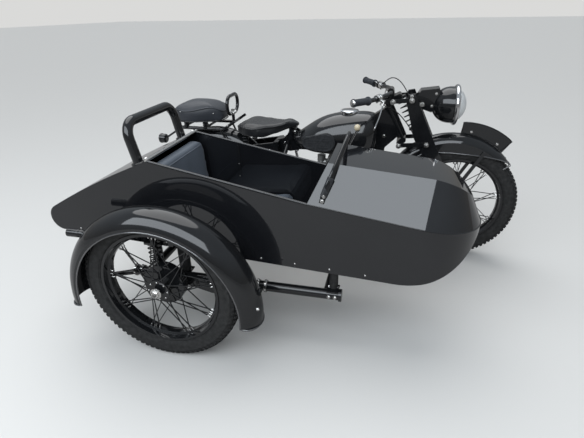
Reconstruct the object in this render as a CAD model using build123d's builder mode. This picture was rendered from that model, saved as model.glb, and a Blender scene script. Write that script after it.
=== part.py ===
"""Motorcycle with a boat-shaped sidecar on its right. X is forward, Y left, Z up, in millimetres.

The origin is on the ground, under the middle of the whole outfit.
"""
from build123d import *
from math import cos, sin, tan, radians
import os

os.makedirs("parts", exist_ok=True)

# Stance: where the three wheels stand
wheelbase = 1400
track = 1114
wheel_lead = 183
front_x = 744
bike_y = 422
tyre_radius = 331

rear_x = front_x - wheelbase
car_x = rear_x + wheel_lead
car_y = bike_y - track
axle_z = tyre_radius
front_hub = Vector(front_x, bike_y, axle_z)
rear_hub = Vector(rear_x, bike_y, axle_z)
car_hub = Vector(car_x, car_y, axle_z)

# Gaps: between pieces that are bolted up, round a turning pin, and between a tyre's bead and its rim
seat_gap = 0.3
pin_gap = 0.3

# Steering: the axis leans back by the rake and meets the ground the trail ahead of the tyre's contact
rake = 27.5
trail = 40
head_low_z = 690
head_high_z = 850
bracket_high_z = 862
head_tube_radius = 27
stem_radius = 13


def rod(start, end, radius, mode=Mode.ADD):
    """A round bar from start to end, in the open part."""
    way = Vector(*end) - Vector(*start)
    with Locations(Plane(origin=Vector(*start), z_dir=way)):
        Cylinder(radius, way.length, align=(Align.CENTER, Align.CENTER, Align.MIN), mode=mode)


def bent_tube(points, bends, radius):
    """A round tube along the points, with a bend radius for each inner point, in the open part."""
    with BuildLine() as path:
        FilletPolyline(*points, radius=list(bends))
    first = Vector(*points[0])
    with BuildSketch(Plane(origin=first, z_dir=Vector(*points[1]) - first)) as section:
        Circle(radius)
    sweep(sections=section.sketch, path=path.line)


def side_plane(y):
    """A plane seen from the right of the outfit: its x is forward and its y is up."""
    return Plane(origin=(0, y, 0), x_dir=(1, 0, 0), z_dir=(0, -1, 0))


def save(made, name):
    made.part.label = name
    export_step(made.part, f"parts/{name}.step")


# Wheels: three alike, each a tyre on a spoked rim with a brake drum on its left
tyre_half = 44
rim_flange_radius = 253
rim_half = 36
rim_wall = 3.5
rim_bed_radius = 229
bead_depth = 9
hub_radius = 26
hub_half = 38
hub_flange_radius = 48
hub_flange_wall = 5
drum_radius = 88
drum_width = 30
axle_radius = 8.5
spokes_a_side = 18
spoke_size = 3.4
spoke_sweep = 32
sprocket_radius = 78
sprocket_wall = 6
chain_line = 54


def tyre(name, hub):
    with BuildPart() as made:
        with BuildSketch(Plane.XY.offset(hub.Z)):
            with Locations((hub.X + tyre_radius - tyre_half, hub.Y)):
                Circle(tyre_half)
            with Locations((hub.X + rim_flange_radius, hub.Y)):
                Rectangle(2 * bead_depth, 2 * (rim_half - rim_wall - seat_gap))
        revolve(axis=Axis(hub, (0, 1, 0)))
    save(made, name)


def spoked_wheel(name, hub, sprocket=False):
    seat = rim_flange_radius - bead_depth - seat_gap
    # Half of the rim's section, as (distance from the middle, radius)
    outside = [(rim_half, rim_flange_radius), (rim_half - rim_wall, rim_flange_radius),
               (rim_half - rim_wall, seat), (13, seat - 3), (9, rim_bed_radius + rim_wall)]
    inside = [(10, rim_bed_radius), (16, seat - 7), (rim_half, seat - 2)]
    half = inside + outside
    section = [(radius, width) for width, radius in half]
    section += [(radius, -width) for width, radius in half[::-1]]
    # Turned steps of the hub, as (radius, from, to) along the axle
    steps = [(hub_radius, -hub_half, hub_half), (hub_flange_radius, -hub_half, hub_flange_wall - hub_half),
             (drum_radius, hub_half - drum_width, hub_half)]
    if sprocket:
        steps += [(hub_flange_radius, hub_half, chain_line),
                  (sprocket_radius, chain_line - sprocket_wall / 2, chain_line + sprocket_wall / 2)]
    with BuildPart() as made:
        with BuildSketch(Plane.XY.offset(hub.Z)):
            with BuildLine():
                Polyline([(hub.X + radius, hub.Y + width) for radius, width in section], close=True)
            make_face()
            for radius, low, high in steps:
                with Locations((hub.X + radius / 2, hub.Y + (low + high) / 2)):
                    Rectangle(radius, high - low)
        revolve(axis=Axis(hub, (0, 1, 0)))
        # Spokes of one side, as (foot radius, foot's place along the axle, turn of the first)
        for foot_radius, foot_y, turn in ((hub_flange_radius - 4, hub_flange_wall - hub_half, 0),
                                          (drum_radius - 3, hub_half - drum_width + 3, 5)):
            spokes = []
            for k in range(spokes_a_side):
                low = radians(360 / spokes_a_side * k + turn)
                high = low + radians(spoke_sweep if k % 2 else -spoke_sweep)
                foot = Vector(foot_radius * cos(low), foot_y, foot_radius * sin(low))
                reach = rim_bed_radius + 1
                end = Vector(reach * cos(high), foot_y / 8, reach * sin(high))
                spokes.append(Plane(origin=hub + (foot + end) / 2, z_dir=end - foot))
                length = (end - foot).length
            with Locations(*spokes):
                Box(spoke_size, spoke_size, length)
        rod(hub - Vector(0, 100, 0), hub + Vector(0, 100, 0), axle_radius + pin_gap, mode=Mode.SUBTRACT)
    save(made, name)


tyre("front_tyre", front_hub)
tyre("rear_tyre", rear_hub)
tyre("sidecar_tyre", car_hub)
spoked_wheel("front_wheel", front_hub)
spoked_wheel("rear_wheel", rear_hub, sprocket=True)
spoked_wheel("sidecar_wheel", car_hub)

# Mudguards: a deep U of sheet, half round at the crown, swept about a centre
guard_wall = 2
crown_share = 0.72


def guard(centre, crown_radius, half_width, depth, start, end):
    """A mudguard in the open part. Angles run from the front (0) over the top (90) to the back (180)."""
    outward = (cos(radians(start)), 0, sin(radians(start)))
    with BuildSketch(Plane(origin=centre, x_dir=outward, z_dir=(-outward[2], 0, outward[0]))) as section:
        for inset, mode in ((0, Mode.ADD), (guard_wall, Mode.SUBTRACT)):
            with BuildLine():
                side = half_width - inset
                spring = crown_radius - crown_share * half_width
                low = crown_radius - depth - inset
                ThreePointArc((spring, -side), (crown_radius - inset, 0), (spring, side))
                Polyline((spring, side), (low, side), (low, -side), (spring, -side))
            make_face(mode=mode)
    revolve(section.sketch, axis=Axis(centre, (0, -1, 0)), revolution_arc=end - start)


# Front fork: two pressed blades outside the mudguard, on four links
blade_offset = 74
blade_thickness = 22
blade_lug = 24
cross_tube_radius = 12
spring_foot = (492, 722)
link_high = ((363, 888), (457, 898))
link_low = ((412, 659), (553, 672))
link_pin_radius = 8
link_wall = 7
blade_out = blade_offset + blade_thickness / 2
blade_in = blade_offset - blade_thickness / 2

front_guard_centre = Vector(front_x - 42, bike_y, axle_z + 29)
front_guard_radius = 359
front_guard_half = 57
front_guard_depth = 62
valance_depth = 98
guard_boss = (572, 668)

with BuildPart() as fork_blades:
    # The blade's edges from the top down, as (x, z)
    back_edge = [(438, 922), (430, 885), (488, 696), (604, 500), (front_x - 20, axle_z - 4)]
    front_edge = [(472, 928), (590, 690), (652, 572), (front_x + 20, axle_z + 4)]
    for side in (-1, 1):
        with BuildSketch(side_plane(bike_y + side * blade_offset)):
            with BuildLine():
                Polyline(*back_edge, *front_edge[::-1], close=True)
            make_face()
            with Locations((front_x, axle_z)):
                Circle(blade_lug)
        extrude(amount=blade_thickness / 2, both=True)
    with BuildSketch(side_plane(bike_y)):
        with Locations(spring_foot, link_high[1]):
            Circle(cross_tube_radius)
    extrude(amount=blade_in + 1, both=True)
    for side in (-1, 1):
        with BuildSketch(side_plane(bike_y + side * (front_guard_half + seat_gap))):
            with Locations(guard_boss):
                Circle(9)
        extrude(amount=-side * (blade_in + 1 - front_guard_half - seat_gap))
    for x, z in (link_high[1], link_low[1]):
        rod((x, bike_y - 120, z), (x, bike_y + 120, z), link_pin_radius + pin_gap, mode=Mode.SUBTRACT)
    rod(front_hub - Vector(0, 120, 0), front_hub + Vector(0, 120, 0), axle_radius + seat_gap, mode=Mode.SUBTRACT)
save(fork_blades, "fork_blades")


def steering_point(z, ahead=0):
    """A point of the steering axis at height z, or the one square off it by ahead."""
    low = front_x + trail - z * tan(radians(rake))
    return Vector(low + ahead * cos(radians(rake)), bike_y, z + ahead * sin(radians(rake)))


def steering_plane(z):
    """Like a side plane, but its y runs up the steering axis, from the axis's point at height z."""
    return Plane(origin=steering_point(z), x_dir=(cos(radians(rake)), 0, sin(radians(rake))), z_dir=(0, -1, 0))


def bar(start, end, width):
    """A flat bar with round ends between two points of the open sketch."""
    way = Vector(*end) - Vector(*start)
    middle = (Vector(*start) + Vector(*end)) / 2
    with Locations(Location((middle.X, middle.Y), way.get_angle(Vector(1, 0)) * (1 if way.Y > 0 else -1))):
        SlotCenterToCenter(way.length, width)


stay_width = 18
# The valance's lower edge from the fork to the front tip, as (x, z)
valance_edge = [(560, 620), (690, 623), (862, 612), (941, 597), (985, 580), (1010, 571)]
with BuildPart() as front_mudguard:
    guard(front_guard_centre, front_guard_radius, front_guard_half, valance_depth, 36, 168)
    with BuildSketch(side_plane(bike_y)):
        with BuildLine():
            Polyline(*valance_edge, (1010, 300), (560, 300), close=True)
        make_face()
        with BuildSketch(side_plane(bike_y), mode=Mode.PRIVATE) as behind:
            with Locations((front_guard_centre.X, front_guard_centre.Z)):
                Circle(front_guard_radius - front_guard_depth)
            with Locations((560, 500)):
                Rectangle(600, 1000, align=(Align.MIN, Align.CENTER), mode=Mode.SUBTRACT)
        add(behind.sketch)
    extrude(amount=front_guard_half + 1, both=True, mode=Mode.SUBTRACT)
    # Flat stays from the fork to the front of the valance, on both sides
    for side in (-1, 1):
        with BuildSketch(side_plane(bike_y + side * (front_guard_half - guard_wall / 2))):
            bar((717, 380), (850, 632), stay_width)
        extrude(amount=-side * (blade_in - seat_gap - front_guard_half + guard_wall / 2))
save(front_mudguard, "front_mudguard")

# Front number plate, left blank, standing along the crown of the mudguard
plate_thickness = 3
with BuildPart() as front_plate:
    with BuildSketch(side_plane(bike_y)):
        with BuildLine():
            low = [(front_guard_centre.X + (front_guard_radius + seat_gap) * cos(radians(turn)),
                    front_guard_centre.Z + (front_guard_radius + seat_gap) * sin(radians(turn)))
                   for turn in (86, 66, 47)]
            top_rear, top_middle, top_front = (735, 777), (876, 752), (988, 684)
            ThreePointArc(*low)
            Line(low[2], top_front)
            ThreePointArc(top_front, top_middle, top_rear)
            Line(top_rear, low[0])
        make_face()
    extrude(amount=plate_thickness / 2, both=True)
save(front_plate, "front_plate")

# Steering stem, with the brackets above and below the head that the links turn on
bracket_gap = 5
bracket_half = 40
high_bracket = 20
low_bracket = 24
damper_radius = 30
bar_centre = (348, 928)
bar_radius = 11


def in_steering(point, z):
    """A side-view point as the steering plane at height z sees it."""
    from_axis = Vector(point[0], bike_y, point[1]) - steering_point(z)
    return (from_axis.dot(Vector(cos(radians(rake)), 0, sin(radians(rake)))),
            from_axis.dot(Vector(-sin(radians(rake)), 0, cos(radians(rake)))))


with BuildPart() as steering_stem:
    rod(steering_point(head_low_z - 12), steering_point(bracket_high_z + 22), stem_radius)
    with BuildSketch(steering_plane(bracket_high_z)):
        with Locations((0, bracket_gap + high_bracket / 2), (74, bracket_gap + high_bracket / 2)):
            Circle(high_bracket / 2)
        with Locations(in_steering(link_high[0], bracket_high_z)):
            Circle(high_bracket / 2 + 3)
        make_hull()
    extrude(amount=bracket_half, both=True)
    with BuildSketch(steering_plane(bracket_high_z)):
        with Locations(in_steering(bar_centre, bracket_high_z)):
            Circle(bar_radius + 7)
        with Locations((36, bracket_gap + high_bracket / 2)):
            Circle(high_bracket / 2 - 2)
        make_hull()
    extrude(amount=bracket_half, both=True)
    with Locations(Plane(origin=steering_point(bracket_high_z) + Vector(-sin(radians(rake)), 0, cos(radians(rake))) * (
            bracket_gap + high_bracket - 1), z_dir=(-sin(radians(rake)), 0, cos(radians(rake))))):
        Cylinder(damper_radius - 8, 14, align=(Align.CENTER, Align.CENTER, Align.MIN))
    with BuildSketch(steering_plane(head_low_z)):
        with Locations((0, -bracket_gap - low_bracket / 2)):
            Circle(low_bracket / 2 + 4)
        with Locations(in_steering(link_low[0], head_low_z)):
            Circle(low_bracket / 2)
        make_hull()
    extrude(amount=bracket_half, both=True)
    with BuildSketch(side_plane(bike_y)):
        with Locations(bar_centre):
            Circle(bar_radius + seat_gap)
    extrude(amount=200, both=True, mode=Mode.SUBTRACT)
    with BuildSketch(side_plane(bike_y)):
        with Locations(link_high[0], link_low[0]):
            Circle(link_pin_radius + pin_gap)
    extrude(amount=200, both=True, mode=Mode.SUBTRACT)
save(steering_stem, "steering_stem")

# Fork links: flat bars outside the blades, with the pins they turn on
link_width = 22
with BuildPart() as fork_links:
    for rear_pin, front_pin in (link_high, link_low):
        for side in (-1, 1):
            with BuildSketch(side_plane(bike_y + side * (blade_out + seat_gap + link_wall / 2))):
                bar(rear_pin, front_pin, link_width)
            extrude(amount=link_wall / 2, both=True)
            nut = bike_y + side * (blade_out + link_wall)
            for x, z in (rear_pin, front_pin):
                rod((x, nut, z), (x, nut + side * 7, z), 11)
        x, z = rear_pin
        rod((x, bike_y - blade_out - link_wall, z), (x, bike_y + blade_out + link_wall, z), link_pin_radius)
        x, z = front_pin
        for side in (-1, 1):
            rod((x, bike_y + side * (blade_in + 1), z), (x, bike_y + side * (blade_out + link_wall), z), link_pin_radius)
save(fork_links, "fork_links")

# Fork spring: a coil between the top bracket and the cross tube
spring_radius = 27
spring_turns = 7
spring_wire = 7


def coil(start, end, radius, wire, turns):
    """A coil spring in the open part, as rings on a core."""
    way = (Vector(*end) - Vector(*start))
    rod(start, end, radius - wire)
    step = (way.length - 2 * wire) / turns
    rings = [Plane(origin=Vector(*start) + way.normalized() * (wire + step * (k + 0.5)), z_dir=way)
             for k in range(turns)]
    with Locations(*rings):
        Cylinder(radius, wire)
    ends = [Plane(origin=Vector(*start), z_dir=way), Plane(origin=Vector(*end), z_dir=-way)]
    with Locations(*ends):
        Cylinder(radius, wire, align=(Align.CENTER, Align.CENTER, Align.MIN))


spring_head = steering_point(bracket_high_z, 76) + Vector(-sin(radians(rake)), 0, cos(radians(rake))) * bracket_gap
with BuildPart() as fork_spring:
    foot = Vector(spring_foot[0], bike_y, spring_foot[1])
    lift = (spring_head - foot).normalized()
    coil(foot + lift * (cross_tube_radius + seat_gap), spring_head - lift * seat_gap, spring_radius, spring_wire, spring_turns)
    add(steering_stem.part, mode=Mode.SUBTRACT)
save(fork_spring, "fork_spring")

# Front axle, with the plate that closes the brake drum
axle_nut = 15
with BuildPart() as front_axle:
    rod(front_hub - Vector(0, blade_out + 16, 0), front_hub + Vector(0, blade_out + 16, 0), axle_radius)
    for side in (-1, 1):
        rod(front_hub + Vector(0, side * (blade_out + seat_gap), 0), front_hub + Vector(0, side * (blade_out + 11), 0), axle_nut)
        rod(front_hub + Vector(0, side * (hub_half + 2), 0), front_hub + Vector(0, side * (front_guard_half - guard_wall - 1), 0), 16)
    rod(front_hub + Vector(0, hub_half + 2, 0), front_hub + Vector(0, hub_half + 8, 0), drum_radius)
save(front_axle, "front_axle")

# Headlamp: a bowl on a bracket from the fork's top, a deep chromed rim and a domed glass
lamp_x = 668
lamp_z = 864
lamp_radius = 92
lamp_depth = 108
rim_radius = 101
rim_depth = 22
glass_bulge = 42
with BuildPart() as headlamp_shell:
    with BuildSketch(side_plane(bike_y)):
        with BuildLine():
            CenterArc((lamp_x - lamp_depth + lamp_radius, lamp_z), lamp_radius, 90, 90)
            Polyline((lamp_x - lamp_depth, lamp_z), (lamp_x, lamp_z), (lamp_x, lamp_z + lamp_radius),
                     (lamp_x - lamp_depth + lamp_radius, lamp_z + lamp_radius))
        make_face()
    revolve(axis=Axis((lamp_x, bike_y, lamp_z), (1, 0, 0)))
save(headlamp_shell, "headlamp_shell")

with BuildPart() as headlamp_rim:
    with BuildSketch(side_plane(bike_y)):
        with BuildLine():
            Line((lamp_x + seat_gap, lamp_z + lamp_radius - 14), (lamp_x + seat_gap, lamp_z + rim_radius - 5))
            ThreePointArc((lamp_x + seat_gap, lamp_z + rim_radius - 5), (lamp_x + 5, lamp_z + rim_radius),
                          (lamp_x + rim_depth, lamp_z + lamp_radius - 8))
            Line((lamp_x + rim_depth, lamp_z + lamp_radius - 8), (lamp_x + rim_depth, lamp_z + lamp_radius - 14))
            Line((lamp_x + rim_depth, lamp_z + lamp_radius - 14), (lamp_x + seat_gap, lamp_z + lamp_radius - 14))
        make_face()
    revolve(axis=Axis((lamp_x, bike_y, lamp_z), (1, 0, 0)))
save(headlamp_rim, "headlamp_rim")

with BuildPart() as headlamp_glass:
    with BuildSketch(side_plane(bike_y)):
        with BuildLine():
            edge = (lamp_x + rim_depth - 4, lamp_z + lamp_radius - 14 - seat_gap)
            front = (lamp_x + rim_depth + glass_bulge, lamp_z)
            RadiusArc(front, edge, -((glass_bulge ** 2 + (lamp_radius - 14) ** 2) / (2 * glass_bulge)))
            Line(edge, (lamp_x + seat_gap, edge[1]))
            Line((lamp_x + seat_gap, edge[1]), (lamp_x + seat_gap, lamp_z))
            Line((lamp_x + seat_gap, lamp_z), front)
        make_face()
    revolve(axis=Axis((lamp_x, bike_y, lamp_z), (1, 0, 0)))
save(headlamp_glass, "headlamp_glass")

lamp_bracket_half = 42
with BuildPart() as lamp_bracket:
    with BuildSketch(side_plane(bike_y)):
        with BuildLine():
            Polyline((478, 905), (500, 940), (590, 952), (602, 860), (560, 830), (515, 845), close=True)
        make_face()
    extrude(amount=lamp_bracket_half, both=True)
    with BuildSketch(side_plane(bike_y)):
        with Locations((508, 878)):
            Circle(12)
    extrude(amount=blade_out, both=True)
    for part in (headlamp_shell, fork_blades):
        add(part.part, mode=Mode.SUBTRACT)
save(lamp_bracket, "lamp_bracket")

# Handlebar: a bent tube through the clamp, with rubber grips and chromed levers
bar_z = bar_centre[1]
bar_right = [(185, -360, bar_z - 1), (262, -250, bar_z - 7), (330, -122, bar_z - 3), (348, -72, bar_z)]
grip_radius = 16
with BuildPart() as handlebar:
    right = [(x, bike_y + y, z) for x, y, z in bar_right]
    left = [(x, bike_y - y, z) for x, y, z in bar_right[::-1]]
    bent_tube(right + left, (80, 90, 60, 60, 90, 80), bar_radius)
save(handlebar, "handlebar")

with BuildPart() as grips:
    (x, y, z), (x2, y2, z2) = bar_right[:2]
    for side in (-1, 1):
        end = Vector(x, bike_y - side * y, z)
        way = (Vector(x2, bike_y - side * y2, z2) - end).normalized()
        rod(end - way * 4, end + way * 112, grip_radius)
        rod(end - way * seat_gap, end + way * 130, bar_radius + seat_gap, mode=Mode.SUBTRACT)
save(grips, "grips")

lever_radius = 5
lever_points = [(322, -206, 905), (316, -232, 893), (306, -262, 846), (286, -300, 790)]
with BuildPart() as hand_levers:
    for side in (-1, 1):
        points = [(x, bike_y - side * y, z) for x, y, z in lever_points]
        bent_tube(points, (14, 40), lever_radius)
        low, high = (284, -214, 923), (300, -184, 925)
        way = [Vector(x, bike_y - side * y, z) for x, y, z in (low, high)]
        rod(way[0], way[1], bar_radius + 7)
        rod(way[0] + (way[1] - way[0]) / 2, points[0], lever_radius + 1)
    add(handlebar.part, mode=Mode.SUBTRACT)
save(hand_levers, "hand_levers")

# Pressed frame: a core along the middle, and the cross-member at its tail
core_half = 25
member_front_x = -262
member_rear_x = -290
plate_in = 62
plate_out = 78
engine_window = [(284, 560), (262, 330), (242, 226), (-235, 226), (-235, 560), (-200, 588), (270, 592)]
chain_slot = (44, 62, 236, 392)
pivot_x = -60
pivot_z = 205
stand_pin_radius = 9
with BuildPart() as frame:
    with BuildSketch(side_plane(bike_y)):
        with BuildLine():
            Polyline((425, 712), (340, 627), (302, 330), (284, 216), (262, 188), (member_rear_x, 188),
                     (member_rear_x, 636), (-226, 654), (100, 690), (322, 838), close=True)
        make_face()
        with BuildLine():
            Polyline(*engine_window, close=True)
        make_face(mode=Mode.SUBTRACT)
    extrude(amount=core_half, both=True)
    with BuildSketch(side_plane(bike_y)):
        with BuildLine():
            Polyline((member_front_x, 188), (member_front_x, 640), (member_rear_x, 636), (member_rear_x, 188), close=True)
        make_face()
        with Locations((-192, 680)):
            Rectangle(20, 63.4)
        with Locations((pivot_x, pivot_z)):
            Rectangle(44, 34)
    extrude(amount=plate_out, both=True)
    with BuildSketch(Plane.XY.offset(160)):
        for x, reach in ((-192, 42), (pivot_x, plate_out - 2)):
            with Locations((x, bike_y + reach + 50), (x, bike_y - reach - 50)):
                Rectangle(60, 100)
    extrude(amount=300 + 300, mode=Mode.SUBTRACT)
    rod(steering_point(head_low_z), steering_point(head_high_z), head_tube_radius)
    rod(steering_point(head_low_z - 40), steering_point(head_high_z + 40), stem_radius + pin_gap, mode=Mode.SUBTRACT)
    low_y, high_y, low_z, high_z = chain_slot
    with Locations(((member_front_x + member_rear_x) / 2, bike_y + (low_y + high_y) / 2, (low_z + high_z) / 2)):
        Box(60, high_y - low_y, high_z - low_z, mode=Mode.SUBTRACT)
    rod((pivot_x, bike_y - 120, pivot_z), (pivot_x, bike_y + 120, pivot_z), stand_pin_radius + pin_gap, mode=Mode.SUBTRACT)
save(frame, "frame")

# Two pressed plates behind the cross-member, which hold the rear axle
plate_front_x = member_rear_x - seat_gap
with BuildPart() as rear_plates:
    for side in (-1, 1):
        with BuildSketch(side_plane(bike_y + side * (plate_in + plate_out) / 2)):
            with BuildLine():
                Polyline((plate_front_x, 190), (plate_front_x, 634), (-470, 604), (-566, 520), (-632, 400),
                         (rear_x - 26, axle_z), (rear_x - 8, axle_z - 30), (-560, 250), (-400, 200), close=True)
            make_face()
            with Locations((rear_x, axle_z)):
                Circle(32)
            with BuildLine():
                Polyline((-318, 580), (-440, 556), (-548, 462), (-590, 392), (-560, 330), (-400, 312), (-318, 320), close=True)
            make_face(mode=Mode.SUBTRACT)
        extrude(amount=(plate_out - plate_in) / 2, both=True)
    # Guard over the chain's upper run, on the left plate
    with BuildSketch(side_plane(bike_y + plate_in)):
        with BuildLine():
            Polyline((-330, 394), (-600, 432), (-600, 435), (-330, 397), close=True)
        make_face()
    extrude(amount=plate_in - tyre_half - 5.3)
    rod(rear_hub - Vector(0, 120, 0), rear_hub + Vector(0, 120, 0), axle_radius + seat_gap, mode=Mode.SUBTRACT)
save(rear_plates, "rear_plates")

# Engine: crankcase and gearbox in one block, with a finned cylinder and head above
engine_half = 104
gearbox_left = 43
crank = (90, 322, 90)
gearbox = (-112, 316, 80)
cylinder_x = 92
fin_pitch = 13
fin_wall = 5
head_z = 548
with BuildPart() as engine:
    with BuildSketch(side_plane(bike_y)):
        for x, z, radius in (crank, gearbox):
            with Locations((x, z)):
                Circle(radius)
        make_hull()
    extrude(amount=gearbox_left, both=True)
    with BuildSketch(side_plane(bike_y)):
        with Locations(crank[:2]):
            Circle(crank[2])
    extrude(amount=engine_half, both=True)
    # Covers on the right, as (x, z, radius, reach)
    for x, z, radius, reach in ((40, 322, 70, engine_half + 8), (-112, 316, 66, 92), (96, 402, 34, 96)):
        rod((x, bike_y, z), (x, bike_y - reach, z), radius)
    rod((cylinder_x, bike_y, 380), (cylinder_x, bike_y, head_z), 56)
    fins = int((head_z - 418) / fin_pitch)
    with Locations(*[(cylinder_x, bike_y, 418 + fin_pitch * k) for k in range(fins)]):
        Box(150, 150, fin_wall)
    with Locations((cylinder_x, bike_y, head_z + 4)):
        Box(128, 120, 26)
    rod((cylinder_x + 40, bike_y + 40, 505), (cylinder_x + 84, bike_y + 52, 505), 24)
    chain_sprocket = (gearbox[0], bike_y, 300)
    rod(chain_sprocket, (gearbox[0], bike_y + chain_line + sprocket_wall / 2, 300), 16)
    rod((gearbox[0], bike_y + chain_line - sprocket_wall / 2, 300),
        (gearbox[0], bike_y + chain_line + sprocket_wall / 2, 300), 32)
save(engine, "engine")

with BuildPart() as carburettor:
    rod((cylinder_x - 75 - seat_gap, bike_y, 514), (-36, bike_y, 514), 20)
    rod((-18, bike_y, 486), (-18, bike_y, 556), 24)
    rod((-20, bike_y - 44, 500), (-20, bike_y, 500), 22)
save(carburettor, "carburettor")

# Exhaust: a pipe down the left of the frame into a silencer
silencer_y = bike_y + 152
silencer_z = 214
pipe_radius = 19
silencer_radius = 37
with BuildPart() as exhaust:
    port = (cylinder_x + 84 + seat_gap, bike_y + 52, 505)
    bent_tube([port, (236, bike_y + 68.4, 505), (232, bike_y + 120, 236), (130, silencer_y, silencer_z),
               (-150, silencer_y, silencer_z)], (45, 70, 60), pipe_radius)
    rod((-140, silencer_y, silencer_z), (-640, silencer_y, silencer_z), silencer_radius)
    rod((-640, silencer_y, silencer_z), (-760, silencer_y, silencer_z), pipe_radius - 3)
    with Locations((-420, (bike_y + plate_out + seat_gap + silencer_y - 10) / 2, 240)):
        Box(40, silencer_y - 10 - bike_y - plate_out - seat_gap, 5)
save(exhaust, "exhaust")

# Tank: sections across it from the back to the front, with a tunnel that straddles the frame
tank_sections = (
    # x, bottom z, bottom half, side z, side half, shoulder z, shoulder half, top z
    (-175, 648, 34, 662, 44, 674, 30, 682),
    (-120, 622, 84, 648, 97, 684, 74, 712),
    (-20, 605, 120, 652, 131, 734, 99, 774),
    (110, 602, 129, 657, 138, 768, 103, 808),
    (225, 606, 116, 666, 129, 784, 94, 814),
    (290, 650, 66, 700, 80, 762, 56, 798),
)
tunnel_gap = 3
with BuildPart() as tank:
    for x, bottom, bottom_half, mid, mid_half, shoulder, shoulder_half, top in tank_sections:
        with BuildSketch(Plane(origin=(x, bike_y, 0), x_dir=(0, 1, 0), z_dir=(1, 0, 0))):
            with BuildLine():
                Line((-bottom_half, bottom), (bottom_half, bottom))
                ThreePointArc((bottom_half, bottom), (mid_half, mid), (shoulder_half, shoulder))
                ThreePointArc((shoulder_half, shoulder), (0, top), (-shoulder_half, shoulder))
                ThreePointArc((-shoulder_half, shoulder), (-mid_half, mid), (-bottom_half, bottom))
            make_face()
    loft()
    with BuildSketch(side_plane(bike_y)):
        with BuildLine():
            Polyline((-400, 560), (-400, 654 + seat_gap), (-226, 654 + seat_gap), (100, 690 + seat_gap),
                     (322, 838 + seat_gap), (400, 890), (400, 560), close=True)
        make_face()
    extrude(amount=core_half + tunnel_gap, both=True, mode=Mode.SUBTRACT)
save(tank, "tank")

cap_x = 135
with BuildPart() as filler_cap:
    rod((cap_x, bike_y, 780), (cap_x, bike_y, 822), 50)
    fillet(filler_cap.edges().filter_by(GeomType.CIRCLE).sort_by(Axis.Z)[-1], 9)
    add(tank.part, mode=Mode.SUBTRACT)
save(filler_cap, "filler_cap")

with BuildPart() as knee_pads:
    with BuildSketch(side_plane(bike_y)):
        for place, radius in (((28, 669), 49), ((-76, 656), 35)):
            with Locations(place):
                Circle(radius)
        make_hull()
    extrude(amount=150, both=True)
    with BuildSketch(Plane.XY.offset(600)):
        with BuildLine():
            # The right pad's outer face from the front back, as (x, half width)
            face = [(80, 147), (-20, 141), (-118, 108)]
            Polyline([(x, bike_y - reach) for x, reach in face] + [(x, bike_y + reach) for x, reach in face[::-1]], close=True)
        make_face()
    extrude(amount=150, mode=Mode.INTERSECT)
    with Locations((0, bike_y, 660)):
        Box(300, 2 * 80, 300, mode=Mode.SUBTRACT)
    add(tank.part, mode=Mode.SUBTRACT)
save(knee_pads, "knee_pads")

knob_radius = 16
with BuildPart() as gear_lever:
    bent_tube([(194, bike_y - 160, 752), (122, bike_y - 146, 590), (104, bike_y - 122, 470)], (60,), 5)
    with Locations((194, bike_y - 160, 765)):
        Sphere(knob_radius)
    rod((104, bike_y - 130, 470), (104, bike_y - 75 - seat_gap, 470), 9)
save(gear_lever, "gear_lever")



def crown(x, edge, top):
    """Rounds the open part off across the motorcycle, from its edge (half width, z) up to the middle."""
    with BuildSketch(Plane(origin=(x, bike_y, 0), x_dir=(0, 1, 0), z_dir=(1, 0, 0))) as section:
        with BuildLine():
            reach, z = edge
            ThreePointArc((-reach, z), (0, top), (reach, z))
            Polyline((reach, z), (reach, 500), (-reach, 500), (-reach, z))
        make_face()
    extrude(section.sketch, amount=800, mode=Mode.INTERSECT)


# Saddle: its side outline over a pear-shaped plan, on two coil springs and a post
saddle_half = 140
with BuildPart() as saddle:
    with BuildSketch(side_plane(bike_y)):
        with BuildLine():
            ThreePointArc((-521, 704), (-468, 735), (-400, 742))
            ThreePointArc((-400, 742), (-320, 738), (-240, 743))
            ThreePointArc((-240, 743), (-187, 753), (-150, 741))
            ThreePointArc((-150, 741), (-141, 728), (-150, 717))
            Polyline((-150, 717), (-180, 712), (-204, 712), (-331, 668), (-467, 680), (-521, 692), (-521, 704))
        make_face()
    extrude(amount=saddle_half, both=True)
    with BuildSketch(Plane.XY.offset(640)):
        with Locations((-398, bike_y)):
            Ellipse(125, saddle_half)
        with Locations((-160, bike_y)):
            Circle(22)
        make_hull()
    extrude(amount=160, mode=Mode.INTERSECT)
    crown(-600, (saddle_half + 1, 728), 757)
save(saddle, "saddle")

seat_spring_radius = 18
with BuildPart() as saddle_springs:
    for side in (-1, 1):
        y = bike_y + side * 84
        coil((-452, y, 609), (-452, y, 704), seat_spring_radius, 5, 6)
    add(saddle.part, mode=Mode.SUBTRACT)
    add(rear_plates.part, mode=Mode.SUBTRACT)
save(saddle_springs, "saddle_springs")

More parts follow.
